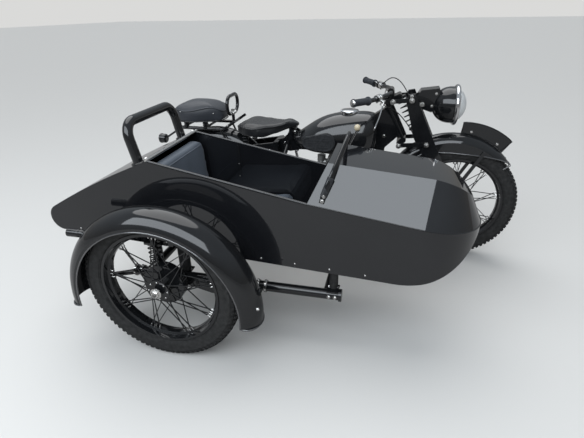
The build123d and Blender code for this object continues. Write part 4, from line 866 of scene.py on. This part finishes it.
# The two gussets that carry the saddle's pivot, cut from sheet and welded to the beam
gusset_in, gusset_out = 0.0252, 0.0290
gusset = [(-0.286, 0.598), (-0.256, 0.640), (-0.222, 0.664), (-0.202, 0.700), (-0.178, 0.708),
          (-0.152, 0.694), (-0.128, 0.668), (-0.126, 0.610), (-0.150, 0.586), (-0.200, 0.576)]
count = len(gusset)
faces = [tuple(range(count)), tuple(range(count, 2 * count)), *quads_between(0, count, count)]
gussets = []
for s in (-1, 1):
    verts = [(x, bike_y + s * y, z) for y in (gusset_in, gusset_out) for x, z in gusset]
    gussets.append(mesh_of("gusset", verts, faces, black))
frame_bolts += both_sides(((-0.229, 0.622), (-0.172, 0.690)), gusset_out, 0.015)
set_piece("saddle_gussets", gussets, "outfit", "black_paint")
set_piece("frame_bolts", fasteners("frame_bolts", "bolt", frame_bolts, bright), "outfit", "chrome")

# Engine. One cast block of crankcase, gearbox and a finned barrel. Screws hold its covers, a spark
# plug stands in the head, and the carburettor and a chromed silencer are bolted to it.
def cast(name, colour, roughness):
    """Sand-cast metal, pitted, with darker stains that lie in patches."""
    ranges = {"To_Min": roughness * 0.75, "To_Max": min(0.95, roughness * 1.5)}
    stuff, tree, surface, place = patchy(name, 14, 8, ranges, [c * 0.55 for c in colour], colour, Metallic=1)
    fine = shader_node(tree, "TexNoise", Scale=260, Detail=4)
    lift = shader_node(tree, "Bump", Strength=0.35, Distance=0.0006)
    wired(tree, (place, "Object", fine, "Vector"), (fine, "Fac", lift, "Height"),
          (rounding(tree, 0.0016), 0, lift, "Normal"), (lift, 0, surface, "Normal"))
    return stuff


def band_section(half, inner, outer):
    """The section of a plain band, by half its width and its two radii."""
    return [(-half, inner), (-half, outer), (half, outer), (half, inner)]


cast_alloy = cast("cast_alloy", (0.55, 0.55, 0.54), 0.42)
finish_node(cast_alloy, "engine", "carburettor")
finish_node(chrome, "exhaust")
engine_screws = []
# Each cover, as (x, z, radius of its screws' circle, how many, y of its right face)
for x, z, radius, count, y in ((0.090, 0.322, 0.078, 10, 0.318), (0.040, 0.322, 0.060, 8, 0.310),
                               (-0.112, 0.316, 0.057, 8, 0.330)):
    for k in range(count):
        a = 2 * pi * (k + 0.5) / count
        for s in (-1, 1):
            place = (x + radius * cos(a), bike_y + s * (bike_y - y), z + radius * sin(a))
            engine_screws += seated("engine", (0, s, 0), [place], 0.0065)
stud = 0.036
head_places = [(0.096 + dx, bike_y + dy, 0.548) for dx in (-stud, stud) for dy in (-stud, stud)]
head_nuts = seated("engine", (0, 0, 1), head_places, 0.011)
engine_parts = [fasteners("cover_screws", "rivet", engine_screws, bright),
                fasteners("head_nuts", "nut", head_nuts, bright)]
head, out = onto("engine", (0.120, bike_y - 0.3, 0.540), (0, 1, 0))
if head is not None:
    plug_section = [(0, 0), (0, 0.0065), (0.006, 0.0065), (0.006, 0.0052), (0.024, 0.0046), (0.026, 0.0026),
                    (0.032, 0.0026), (0.032, 0)]
    engine_parts.append(turned("spark_plug", plug_section, head, out, silvered, 16))
set_piece("engine_fixings", engine_parts, "outfit", "chrome")
silencer_y, silencer_z = 0.574, 0.214
tail_section = [(-0.002, 0.0125), (-0.002, 0.0166), (0.003, 0.0172), (0.006, 0.0166), (0.006, 0.0125)]
bands = [turned("tail_ring", tail_section, (-0.757, silencer_y, silencer_z), (1, 0, 0), chrome, 32)]
clip_section = band_section(0.005, 0.0368, 0.0382)
bands += [turned("clip", clip_section, (x, silencer_y, silencer_z), (1, 0, 0), dull_steel, 40)
          for x in (-0.175, -0.605)]
set_piece("silencer_bands", bands, "outfit", "chrome")

# Tank. Pressed sheet, gloss black, with a knurled plated cap and rubber knee pads that have a raised
# rim. The gear knob beside it is cream.
finish_node(black, "tank")
finish_node(chrome, "filler_cap")
pad_rubber = rubber("pad_rubber", (0.017, 0.018, 0.020), 120, 0.3, roughness=0.55)
finish_node(pad_rubber, "knee_pads")
pad_lean = tan(0.125)
# The two round ends of a pad, as (x, z, radius, where its arc starts)
pad_ends = ((0.028, 0.669, 0.043, -pi / 2), (-0.076, 0.656, 0.029, pi / 2))
pad_outline = []
for x, z, radius, first in pad_ends:
    angles = [first + pad_lean + pi * k / 14 for k in range(15)]
    pad_outline += [(x + radius * cos(a), z + radius * sin(a)) for a in angles]


def on_pad(side, places):
    """The points of one knee pad's face at each (x, z)."""
    hits = [onto("knee_pads", (x, bike_y + side * 0.4, z), (0, -side, 0))[0] for x, z in places]
    return [p for p in hits if p is not None]


pad_trim = []
for s in (-1, 1):
    pad_trim.append(swept("pad_rim", on_pad(s, pad_outline), 0.0034, pad_rubber, 8, closed=True))
    for k in range(6):
        row = [(x / 1000, 0.640 + 0.0095 * k + x / 1000 * 0.12) for x in range(-92, 62, 14)]
        pad_trim.append(swept("pad_rib", on_pad(s, row), 0.0017, pad_rubber, 6))
set_piece("knee_pad_ribs", pad_trim, "outfit", "rubber")
cap_low, cap_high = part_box("filler_cap")
cap_middle = Vector(((cap_low[0] + cap_high[0]) / 2, bike_y, cap_high[2]))
cap_radius = (cap_high[0] - cap_low[0]) / 2
cap_ribs = []
for k in range(44):
    rib = cap_middle + Vector((cos(2 * pi * k / 44), sin(2 * pi * k / 44), 0)) * cap_radius
    cap_ribs.append((rib - up * 0.0100, rib - up * 0.0018, 0.0013, 0.0011))
cap_dome = [(-0.001, 0), (-0.001, cap_radius * 0.86), (0.0008, cap_radius * 0.8), (0.0022, cap_radius * 0.45),
            (0.0027, 0)]
set_piece("cap_knurl", [pins("cap_ribs", cap_ribs, chrome, 6),
                        turned("cap_dome", cap_dome, cap_middle, up, chrome, 40)], "outfit", "chrome")

cream = enamel("cream_knob", (0.62, 0.53, 0.36), 0.25, dust=0.05)
knob_section = [(-0.0172, 0), (-0.0166, 0.0060), (-0.0130, 0.0112), (-0.0060, 0.0155), (0.0020, 0.0168),
                (0.0090, 0.0142), (0.0140, 0.0092), (0.0164, 0.0040), (0.0168, 0)]
finish_node(chrome, "gear_lever")
gear_knob = turned("gear_knob", knob_section, Vector((0.194, 0.262, 0.765)), (0.4, -0.05, 0.9), cream, 32)
set_piece("gear_knob", gear_knob, "outfit", "chrome")

# Footrests and kick starter. Moulded black rubbers with ribs all round, pushed over bent steel bars.
# A domed rivet closes the end of each rest.
rest_rubber = rubber("rest_rubber", (0.014, 0.014, 0.014), 100, 0.3)
finish_node(black, "footrests")
finish_node(chrome, "kick_starter")
rest_x, rest_z, rest_in, rest_out = 0.062, 0.258, 0.139, 0.2155
rest_low, rest_ribs = 0.0152, 8
rest_high = rest_low + 0.002
step = (rest_out - rest_in) / rest_ribs
rest_section = [(0, 0.0092), (0, rest_high)]
for k in range(rest_ribs):
    rest_section += [(k * step + 0.001, rest_high), (k * step + step * 0.6, rest_high),
                     (k * step + step * 0.7, rest_low)]
rest_section += [(rest_out - rest_in, rest_high), (rest_out - rest_in, 0.0092)]
ribbed = [turned("rest", rest_section, (rest_x, bike_y + s * rest_in, rest_z), (0, s, 0), rest_rubber, 24)
          for s in (-1, 1)]
ribbed.append(fasteners("rest_ends", "rivet", both_sides([(rest_x, rest_z)], rest_out, 0.020), bright))
kick_section = [(0, 0.0085), (0, 0.0145)]
for k in range(6):
    kick_section += [(k * 0.0095 + 0.001, 0.0145), (k * 0.0095 + 0.006, 0.0145), (k * 0.0095 + 0.007, 0.0132)]
kick_section += [(0.0575, 0.0145), (0.0575, 0.0085)]
ribbed.append(turned("kick_rubber", kick_section, (-0.196, 0.5405, 0.5411), (0, 1, 0.02), rest_rubber, 24))
set_piece("foot_rubbers", ribbed, "outfit", "rubber")

# Chain. A loop of half-inch roller links on the left, in dull steel: pairs of waisted side plates
# with a roller and a pin between them, set round the two sprockets.
# Each sprocket, as (x, z, radius of the chain's line)
small_sprocket, large_sprocket = (-0.112, 0.300, 0.037), (-0.656, 0.331, 0.083)
chain_y = 0.476
(ax, az, ar), (bx, bz, br) = small_sprocket, large_sprocket
span = ((ax - bx) ** 2 + (az - bz) ** 2) ** 0.5
heading = atan2(az - bz, ax - bx)
tip = asin((br - ar) / span)
run = span * cos(tip)
top_angle, low_angle = heading + pi / 2 - tip, heading - pi / 2 + tip
front_arc = ar * (top_angle - low_angle)
chain_length = 2 * run + front_arc + br * (2 * pi - (top_angle - low_angle))


def on_sprocket(sprocket, angle):
    x, z, radius = sprocket
    return x + radius * cos(angle), z + radius * sin(angle)


def on_chain(length):
    """The chain's place at a length along its loop, from the rear sprocket's top."""
    length %= chain_length
    for start, end, angle, arc in ((large_sprocket, small_sprocket, top_angle, front_arc),
                                   (small_sprocket, large_sprocket, low_angle, chain_length)):
        if length < run:
            (x0, z0), (x1, z1) = on_sprocket(start, angle), on_sprocket(end, angle)
            return Vector((x0 + (x1 - x0) * length / run, 0, z0 + (z1 - z0) * length / run))
        length -= run
        if length < arc:
            x, z = on_sprocket(end, angle - length / end[2])
            return Vector((x, 0, z))
        length -= arc


links = 2 * round(chain_length / 0.0127 / 2)
link_pitch = chain_length / links
end_radius, waist, plate_thickness = 0.0042, 0.0031, 0.0009
rollers, verts, faces = [], [], []
for k in range(links):
    a, b = on_chain(k * link_pitch), on_chain((k + 1) * link_pitch)
    along = (b - a).normalized()
    aside = Vector((-along.z, 0, along.x))
    outline = []
    for middle, first, side in ((a, pi / 2, -1), (b, -pi / 2, 1)):
        for angle in (first + pi * j / 4 for j in range(5)):
            outline.append(middle + (along * cos(angle) + aside * sin(angle)) * end_radius)
        outline.append((a + b) / 2 + aside * side * waist)
    for s in (-1, 1):
        inner = chain_y + s * (0.0021 if k % 2 else 0.0031)
        base, count = len(verts), len(outline)
        for y in (inner, inner + s * plate_thickness):
            verts += [p + along_axle * y for p in outline]
        faces += [tuple(range(base, base + count)), tuple(range(base + count, base + 2 * count))]
        faces += quads_between(base, base + count, count)
    for half, radius in ((0.0035, 0.0013), (0.0019, 0.0035)):
        rollers.append((a + along_axle * (chain_y - half), a + along_axle * (chain_y + half), radius, radius))
chain_steel = plated("chain_steel", (0.30, 0.28, 0.26), 0.35, grain=200, wear=0.7)
set_piece("roller_chain", [mesh_of("plates", verts, faces, chain_steel),
                           pins("rollers", rollers, chain_steel, 8)], "outfit", "steel", "chain")

# Rack and grab ring. Black tubes brazed together over the rear guard, with the passenger's grab ring
# on a post. Small coil springs carry the pillion pad, and the tail lamp hangs at the back.
finish_node(black, "rack", "rear_axle", "tail_lamp")
post_x = -0.550
rack_rows = [*both_sides([(-0.520, 0.536)], 0.0931, 0.014), *both_sides([(post_x, 0.724)], 0.0951, 0.012),
             (Vector((-0.5405, bike_y, 0.7885)), (1, 0, 0), 0.016)]
axle_ends = both_sides([(-0.656, tyre_radius)], 0.1095, 0.026)
bands = [turned("band", band_section(0.013, 0.0092, 0.0116), (post_x, bike_y, 0.7885), up, bright, 24)]
side_band = band_section(0.007, 0.0098, 0.0118)
bands += [turned("band", side_band, (post_x, bike_y + s * 0.022, 0.782), along_axle, bright, 24)
          for s in (-1, 1)]
for s in (-1, 1):
    trim_line = [Vector((x, bike_y + s * 0.095, 0.7125)) for x in (-0.842, -0.760, -0.680, -0.600)]
    bands.append(blade("trim", trim_line, (0, 0, 1), lambda share: (0.0095, 0.0014), dull_steel, 12))
set_piece("rack_fixings", [*bands, fasteners("axle_nuts", "nut", axle_ends, bright),
                           fasteners("rack_bolts", "bolt", rack_rows, bright)], "outfit", "chrome")
red_lens = tuned(glass("red_lens", (0.55, 0.015, 0.012)), Transmission_Weight=0.5)
tail = Vector((-1.049, bike_y, 0.604))
lens_section = [(0.0005, 0), (0.0005, 0.0225), (0.0030, 0.0222), (0.0058, 0.0190), (0.0076, 0.0120),
                (0.0082, 0)]
rim_section = [(-0.0125, 0.0279), (-0.0125, 0.0296), (-0.0050, 0.0300), (0.0010, 0.0262), (0.0016, 0.0226),
               (-0.0004, 0.0222)]
set_piece("tail_lamp_lens", [turned("lens", lens_section, tail, (-1, 0, 0), red_lens, 40),
                             turned("rim", rim_section, tail, (-1, 0, 0), black, 40)], "outfit", "red_glass")

# Saddle. Black rubber moulded over a steel pan, dished, with a beaded edge and fine wrinkles along it.
# Under its nose a bright bolt holds it to the frame's post, and two coil springs carry its tail.
def cover(name, colour, grain, depth, roughness, creases):
    """A soft covering with a fine grain. creases is (scale along, scale across, strength) of its wrinkles."""
    along, across, strength = creases
    ranges = {"To_Min": roughness * 0.75, "To_Max": min(0.95, roughness * 1.35)}
    low, high = [c * 0.78 for c in colour], [c * 1.25 + 0.004 for c in colour]
    stuff, tree, surface, place = patchy(name, 11, 7, ranges, low, high, Sheen_Weight=0.12,
                                         Sheen_Roughness=0.4)
    aim = shader_node(tree, "Mapping", Scale=(along, across, along))
    folds = shader_node(tree, "TexNoise", Scale=1.0, Detail=3, Distortion=0.4)
    lift = shader_node(tree, "Bump", Strength=strength, Distance=0.004)
    cells = shader_node(tree, "TexVoronoi", Scale=grain)
    fine = shader_node(tree, "Bump", Strength=0.35, Distance=depth)
    wired(tree, (place, "Object", aim, "Vector"), (aim, 0, folds, "Vector"), (folds, "Fac", lift, "Height"),
          (lift, 0, fine, "Normal"), (place, "Object", cells, "Vector"), (cells, "Distance", fine, "Height"),
          (fine, 0, surface, "Normal"))
    return stuff


def blown_up(pad, hold_below):
    """The mesh of a pad filled with air, with what lies within hold_below of its lowest point held."""
    low = min(v.co.z for v in pad.data.vertices)
    held = pad.vertex_groups.new(name="held")
    held.add([v.index for v in pad.data.vertices if v.co.z < low + hold_below], 1.0, "ADD")
    cloth = pad.modifiers.new("stuffing", "CLOTH")
    for setting, value in (("quality", 5), ("mass", 0.3), ("tension_stiffness", 18),
                           ("compression_stiffness", 18), ("bending_stiffness", 1.5), ("use_pressure", True),
                           ("uniform_pressure_force", 4), ("vertex_group_mass", "held")):
        setattr(cloth.settings, setting, value)
    cloth.settings.effector_weights.gravity = 0
    cloth.collision_settings.use_self_collision = False
    cloth.point_cache.frame_start, cloth.point_cache.frame_end = 1, 20
    for step in range(1, 21):
        bpy.context.scene.frame_set(step)
    blown = shape_now(pad)
    pad.modifiers.clear()
    pad.vertex_groups.clear()
    bpy.context.scene.frame_set(1)
    return blown


def stuffed(name, node, voxel, inset, swell, soften, hold_below):
    """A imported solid's shape as a padded skin: remeshed, drawn in, blown up as cloth and smoothed.

    What lies within hold_below of its lowest point stays where it is, as the base that it rests on.
    """
    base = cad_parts[node].data.copy()
    work = bmesh.new()
    work.from_mesh(base)
    bmesh.ops.remove_doubles(work, verts=work.verts, dist=1e-5)
    work.to_mesh(base)
    work.free()
    pad = link(name, base)
    skin = pad.modifiers.new("skin", "REMESH")
    skin.mode = "VOXEL"
    skin.voxel_size = voxel
    mesh = shaped(pad)
    pad.modifiers.clear()
    pad.data = mesh
    for v in mesh.vertices:
        v.co -= v.normal * inset
    mesh.update()
    before = [v.co.copy() for v in mesh.vertices]
    blown = blown_up(pad, hold_below)
    for v, start, end in zip(mesh.vertices, before, blown.vertices):
        step = end.co - start
        v.co = start + step * min(1.0, swell / max(step.length, 1e-9))
    bpy.data.meshes.remove(blown)
    work = bmesh.new()
    work.from_mesh(mesh)
    for _ in range(soften):
        bmesh.ops.smooth_vert(work, verts=work.verts, factor=0.5, use_axis_x=True, use_axis_y=True,
                              use_axis_z=True)
    work.to_mesh(mesh)
    work.free()
    finer = pad.modifiers.new("finer", "SUBSURF")
    finer.levels = finer.render_levels = 1
    final = shaped(pad)
    bpy.data.objects.remove(pad)
    final.name = name
    final.shade_smooth()
    return final


def rim_line(skin, centre, level, inset, drop, count=96):
    """A closed line round a pad: out at its side at one level, and up near its upper edge."""
    line = []
    for k in range(count):
        out = Vector((cos(2 * pi * k / count), sin(2 * pi * k / count), 0))
        side = skin.ray_cast(Vector((centre[0], centre[1], level)) + out * 0.4, -out)[0]
        top = skin.ray_cast(Vector((side.x, side.y, level + 0.3)) - out * inset, -up)[0]
        line.append(Vector((side.x, side.y, top.z - drop)))
    return [(line[k - 1] + line[k] * 2 + line[(k + 1) % count]) / 4 for k in range(count)]


def cushion(name, mesh, material, slot, node):
    """A padded piece of the outfit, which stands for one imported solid."""
    mesh.materials.clear()
    mesh.materials.append(material)
    set_piece(name, mesh, "outfit", slot, node)


saddle_skin = cover("saddle_cover", (0.008, 0.0085, 0.010), 420, 0.0004, 0.27, creases=(5, 60, 0.5))
saddle_mesh = stuffed("saddle_pad", "saddle", 0.005, 0.0035, 0.0065, 16, 0.014)
cushion("saddle_pad", saddle_mesh, saddle_skin, "saddle_cover", "saddle")
saddle_edge = rim_line(skin_tree(saddle_mesh), (-0.360, bike_y), 0.712, 0.012, 0.009)
nose_rows = [(Vector((-0.172, bike_y + s * 0.014, 0.7135)), (0, 0, -1), 0.012) for s in (-1, 1)]
set_piece("saddle_edge", [swept("edge_bead", saddle_edge, 0.0046, saddle_skin, 10, closed=True),
                          fasteners("nose_nuts", "nut", nose_rows, bright)], "outfit", "saddle_cover")

# Pillion pad. Leathercloth over springs on the rack: a crowned top panel sewn to a side valance with
# a piped seam, and two bright studs at each side.
pad_skin = cover("pad_cover", (0.030, 0.034, 0.042), 620, 0.0005, 0.42, creases=(14, 22, 0.12))
pillion_mesh = stuffed("pillion_cushion", "pillion_pad", 0.0055, 0.0035, 0.0070, 18, 0.012)
cushion("pillion_cushion", pillion_mesh, pad_skin, "pad_cover", "pillion_pad")
pillion_tree = skin_tree(pillion_mesh)
pillion_middle = (-0.745, bike_y)
pillion_seam = rim_line(pillion_tree, pillion_middle, 0.768, 0.014, 0.010)
pillion_foot = [Vector((p.x, p.y, 0.7455)) for p in rim_line(pillion_tree, pillion_middle, 0.752, 0.0, 0.0)]
studs = []
for s in (-1, 1):
    for x, z in ((-0.8304, 0.8010), (-0.640, 0.790)):
        place, out = pillion_tree.ray_cast(Vector((x, bike_y + s * 0.4, z)), Vector((0, -s, 0)))[:2]
        if place is not None:
            studs.append((place, out, 0.008))
set_piece("pillion_piping", [swept("seam", pillion_seam, 0.0028, pad_skin, 8, closed=True),
                             swept("foot", pillion_foot, 0.0034, black, 8, closed=True),
                             fasteners("studs", "rivet", studs, bright)], "outfit", "pad_cover")

# Sidecar seat. A squab and a backrest in grey-blue leathercloth, stuffed and piped, with a separate
# panel sewn along the backrest's top.
trim_skin = cover("trim_cloth", (0.092, 0.110, 0.136), 560, 0.0005, 0.42, creases=(9, 9, 0.10))
back_mesh = stuffed("backrest_pad", "backrest", 0.006, 0.004, 0.0060, 3, 0.010)
cushion("backrest_pad", back_mesh, trim_skin, "trim_cloth", "backrest")
squab_mesh = stuffed("seat_pad", "seat_cushion", 0.006, 0.004, 0.0080, 4, 0.012)
cushion("seat_pad", squab_mesh, trim_skin, "trim_cloth", "seat_cushion")


def across_pad(mesh, start, end, way, count):
    """A line on a pad from one side to the other, cast along a way from between two points."""
    skin, start, end = skin_tree(mesh), Vector(start), Vector(end)
    line = [skin.ray_cast(start + (end - start) * k / count, Vector(way))[0] for k in range(count + 1)]
    return [place for place in line if place is not None]


# Each line of piping, as (name, pad, from, to, way to the pad, steps, radius)
piping = (("top_seam", back_mesh, (0, -0.512, 0.752), (0, -0.122, 0.752), (-1, 0, 0), 30, 0.0024),
          ("low_seam", back_mesh, (0, -0.515, 0.560), (0, -0.119, 0.560), (-1, 0, 0), 30, 0.0020),
          ("squab_piping", squab_mesh, (-0.085, -0.527, 0.8), (-0.085, -0.107, 0.8), (0, 0, -1), 32, 0.0030))
set_piece("seat_piping", [swept(label, across_pad(mesh, start, end, way, count), radius, trim_skin, 8)
                          for label, mesh, start, end, way, count, radius in piping], "outfit", "trim_cloth")

# Sidecar body. Steel sheet over a frame of ash, with upright sides, a humped tail and a faceted
# foredeck, all in deep black gloss. The upper edges are rolled over a wire, and a plated strip
# closes the tail's front edge.
def gloss(name, colour, ripple):
    """Polished coach paint, rubbed down and varnished, with the sheet's slight waves under it."""
    return tuned(enamel(name, colour, 0.07, dust=0.004, edge=0.0022, ripple=ripple), Coat_Weight=1.0,
                 Coat_IOR=1.62, Specular_IOR_Level=0.1, Coat_Roughness=0.02)


coach_black = gloss("coach_black", (0.006, 0.0065, 0.008), 0.012)
walls = {-1: "body_side_right", 1: "body_side_left"}
finish_node(coach_black, *walls.values(), "rear_deck", "foredeck")
finish_node(black, "body_floor")
body_mid, body_reach = -0.317, 0.225
deck_start, deck_top = 0.088, 0.674
edge_front, edge_rear = Vector((deck_start, 0, deck_top)), Vector((-0.548, 0, 0.801))
beads = []
for s in (-1, 1):
    y = body_mid + s * (body_reach - 0.0005)
    line = [edge_front + (edge_rear - edge_front) * k / 12 + Vector((0, y, 0.0005)) for k in range(13)]
    beads.append(swept("edge_wire", line, 0.0052, coach_black, 12))
strip_line = [Vector((-0.5505, body_mid - 0.2215 + 0.443 * k / 12, 0.8035)) for k in range(13)]
beads.append(swept("deck_strip", strip_line, 0.0078, bright, 14))
strip_ends = [(Vector((-0.5560, body_mid + s * 0.2100, 0.8085)), (0.1, 0, 1), 0.018) for s in (-1, 1)]
beads.append(fasteners("strip_ends", "rivet", strip_ends, bright))
set_piece("body_edges", beads, "outfit", "chrome")

# The seam between the sides and the foredeck: a thin half-round moulding, which falls towards the
# nose, and the bolts through the lower edge of the sides into the floor's frame.
nose_middle, nose_tip, deck_fall = 0.515, 0.740, 0.100
straight = [deck_start + (nose_middle - deck_start) * k / 10 for k in range(10)]
nose = [(body_reach * cos(a), body_reach * sin(a)) for a in (-pi / 2 + pi * k / 24 for k in range(25))]
seam_plan = [(x, body_mid - body_reach) for x in straight]
seam_plan += [(nose_middle + x, body_mid + y) for x, y in nose]
seam_plan += [(x, body_mid + body_reach) for x in straight[::-1]]
seam_line = []
for x, y in seam_plan:
    fall = (x - deck_start) / (nose_tip - deck_start) * deck_fall
    seam_line.append(Vector((x, y, deck_top - fall + 0.0003)))
set_piece("deck_seam", swept("deck_seam", seam_line, 0.0026, black, 8), "outfit", "body_paint")
edge_bolts = []
for s, wall in walls.items():
    for x in (-0.93, -0.80, -0.66, -0.52, -0.38, -0.24, -0.10, 0.04, 0.18, 0.32):
        lower_edge = 0.4545 - (x + 1.022) * 0.0607
        edge_bolts += seated(wall, (0, s, 0), [(x, body_mid + s * 0.20, lower_edge + 0.019)], 0.0085)
set_piece("body_bolts", fasteners("body_bolts", "rivet", edge_bolts, bright), "outfit", "chrome")

# Hoop and grab handle. The hoop is a bent black tube whose feet sit in collars on the tail, and the
# handle a bent strap with two bright bolts through each foot.
finish_node(black, "hoop")
# Half of the strap from the foot up, as (reach from the middle, z)
handle_half = [(0.2085, 0.697), (0.2050, 0.712), (0.1960, 0.745), (0.1800, 0.776), (0.1560, 0.803),
               (0.1150, 0.831), (0.0700, 0.861), (0.0360, 0.877), (0.0, 0.8835)]
handle_side = handle_half + [(-reach, z) for reach, z in handle_half[-2::-1]]
handle_line = through([(0.145 + (z - 0.697) * 0.3564, body_mid - reach, z) for reach, z in handle_side], 5)
handle_thin = (-0.336, 0, 0.942)
handle_parts = [blade("strap", handle_line, handle_thin, lambda share: (0.0062, 0.0112), black, 16)]
collar_section = [(-0.004, 0.0196), (-0.004, 0.0275), (0.0035, 0.0275), (0.0060, 0.0240), (0.0060, 0.0196)]
collars, handle_bolts = [], []
for s, first, last in ((-1, 3, 14), (1, -4, -15)):
    place, out = onto("rear_deck", (-0.6075, body_mid + s * 0.190, 0.95), (0, 0, -1))
    if place is not None:
        collars.append(turned("collar", collar_section, place, (-0.216, 0, 0.976), black, 40))
    low, high = Vector((0.142, body_mid + s * 0.2165, 0.680)), Vector((0.151, body_mid + s * 0.2055, 0.714))
    tab_line = [low, (low + high) / 2, high]
    handle_parts.append(blade("tab", tab_line, (0, s, 0), lambda share: (0.0105, 0.0026), black))
    for share in (0.20, 0.72):
        bolt_at = low + (high - low) * share + Vector((0, s * 0.0030, 0.0009))
        handle_bolts.append((bolt_at, (0, s * 0.95, 0.30), 0.0105))
    start, end = handle_line[first], handle_line[last]
    sleeve = [start + (end - start) * k / 6 for k in range(7)]
    handle_parts.append(blade("sleeve", sleeve, handle_thin, lambda share: (0.0085, 0.0132), pad_rubber, 16))
handle_parts.append(fasteners("handle_bolts", "bolt", handle_bolts, bright))
set_piece("handle_strap", handle_parts, "outfit", "black_paint", "grab_handle")
set_piece("hoop_collars", collars, "outfit", "black_paint")

# Inside the cockpit: the sheet's lap joint down each wall, with rivets along it.
lap_x = -0.336
laps = []
for s in walls:
    y = body_mid + s * (body_reach - 0.0030)
    laps.append(tapered_blocks("lap", [(lap_x, y - s * 0.0005, 0.5880, 0.020, 0.0016, 0.158, 0)]))
    laps[-1].materials.append(black)
    lap_rows = [(Vector((lap_x, y - s * 0.0012, z)), (0, -s, 0), 0.006) for z in (0.592, 0.655)]
    laps.append(fasteners("lap_rivets", "rivet", lap_rows, dull_steel))
set_piece("wall_laps", laps, "outfit", "body_paint")

# Chassis. Two long tubes and three cross tubes, brazed and stove black, bolted to the motorcycle at
# two points below and two struts above. Clips of bright strip hold the mudguard's stays.
finish_node(black, "chassis", "struts", "swing_arm")
finish_node(rubber("block_rubber", (0.012, 0.012, 0.012), 80, 0.4), "body_mounts")
clip_section = band_section(0.0045, 0.0214, 0.0262)
clip_parts, chassis_bolts = [], []
for x in (-0.123, -0.091, -0.703, -0.671):
    clip_parts.append(turned("clip", clip_section, (x, -0.522, 0.268), (1, 0, 0), bright, 32))
    chassis_bolts.append((Vector((x, -0.522, 0.2920)), (0, 0, 1), 0.010))
chassis_bolts += seated("sidecar_mudguard", (1, 0, 0), [(-0.06, -0.724, 0.306)], 0.010)
# Each pair of body mounts, as (x, radius), and each long tube, as (y, side)
for x, radius in ((0.194, 0.018), (-0.470, 0.025)):
    for y in (-0.500, -0.134):
        mount_bolts = [(x + side * (radius + 0.0005), y, 0.293) for side in (-1, 1)]
        chassis_bolts += seated("chassis", (0, 0, 1), mount_bolts, 0.008)
for y, side in ((-0.522, -1), (-0.112, 1)):
    tube_bolts = [(x, y, 0.268) for x in (0.205, 0.180, -0.450, -0.490)]
    chassis_bolts += seated("chassis", (0, side, 0), tube_bolts, 0.010)
chassis_bolts += seated("swing_arm", (0, -1, 0), [(-0.300, -0.600, 0.286)], 0.022)
# What closes the wheel's axle, as (name, section, metal, sides)
axle_parts = (
    ("axle_washer", [(-0.004, 0), (-0.004, 0.0235), (0, 0.0235), (0.0010, 0.0215), (0.0010, 0)], bright, 32),
    ("axle_nut", [(0, 0), (0, 0.0175), (0.0080, 0.0175), (0.0105, 0.0150), (0.0105, 0)], bright, 6),
    ("axle_end", [(0.009, 0), (0.009, 0.0085), (0.0135, 0.0080), (0.0148, 0.0060), (0.0148, 0)],
     dull_steel, 20))
for label, section, metal, steps in axle_parts:
    clip_parts.append(turned(label, section, Vector((-0.473, -0.7497, 0.331)), (0, -1, 0), metal, steps))
clip_parts.append(fasteners("chassis_bolts", "bolt", chassis_bolts, bright))
set_piece("chassis_fixings", clip_parts, "outfit", "chrome")

# Coil springs. The sidecar's wheel hangs on one between the arm and the post, and the saddle's tail
# stands on two smaller ones. They are wound of 6 mm wire in gloss black, on bright turned seats.
wire_radius = 0.003
spring_low, spring_high = Vector((-0.563, -0.584, 0.352)), Vector((-0.563, -0.584, 0.4597))
coil_path = helix(spring_low + up * 0.0035, spring_high - up * 0.0035, 0.017, 6)
seat_section = [(0, 0), (0, 0.0195), (0.0022, 0.0195), (0.0036, 0.0120), (0.0100, 0.0110), (0.0100, 0)]
spring_parts = [turned("seat", seat_section, place, way, bright, 28)
                for place, way in ((spring_low, up), (spring_high, -up))]
set_piece("wheel_spring", [swept("coil", coil_path, wire_radius, black, 8), *spring_parts],
          "outfit", "black_paint", "sidecar_spring")
saddle_seat = [(0, 0), (0, 0.0175), (0.0020, 0.0175), (0.0032, 0.010), (0.008, 0.009), (0.008, 0)]
saddle_parts = []
for s in (-1, 1):
    low, high = (Vector((-0.452, bike_y + s * 0.084, z)) for z in (0.609, 0.6795))
    coil_path = helix(low + up * wire_radius, high - up * wire_radius, 0.015, 5)
    saddle_parts.append(swept("coil", coil_path, wire_radius, black, 8))
    saddle_parts.append(turned("seat", saddle_seat, low, up, bright, 24))
set_piece("seat_coils", saddle_parts, "outfit", "black_paint", "saddle_springs")

# Marker lamp. A small black bullet on the mudguard's crown, drawn to a blunt point at its front, with
# a red lens behind.
finish_node(black, "marker_lamp")
marker = Vector((-0.820, -0.692, 0.535))
bullet = [(-0.002, 0), (-0.002, 0.0172), (0.004, 0.0166), (0.012, 0.0132), (0.018, 0.0085), (0.021, 0.0035),
          (0.0215, 0)]
rear_lens = [(0, 0), (0, 0.0075), (0.0014, 0.0070), (0.0030, 0.0040), (0.0034, 0)]
bullet_at, red_at = marker + Vector((0.024, 0, 0)), marker - Vector((0.0361, 0, 0))
set_piece("marker_lamp_lens", [turned("bullet", bullet, bullet_at, (1, 0, 0), black, 32),
                               turned("red", rear_lens, red_at, (-1, 0, 0), red_lens, 24)],
          "outfit", "black_paint")
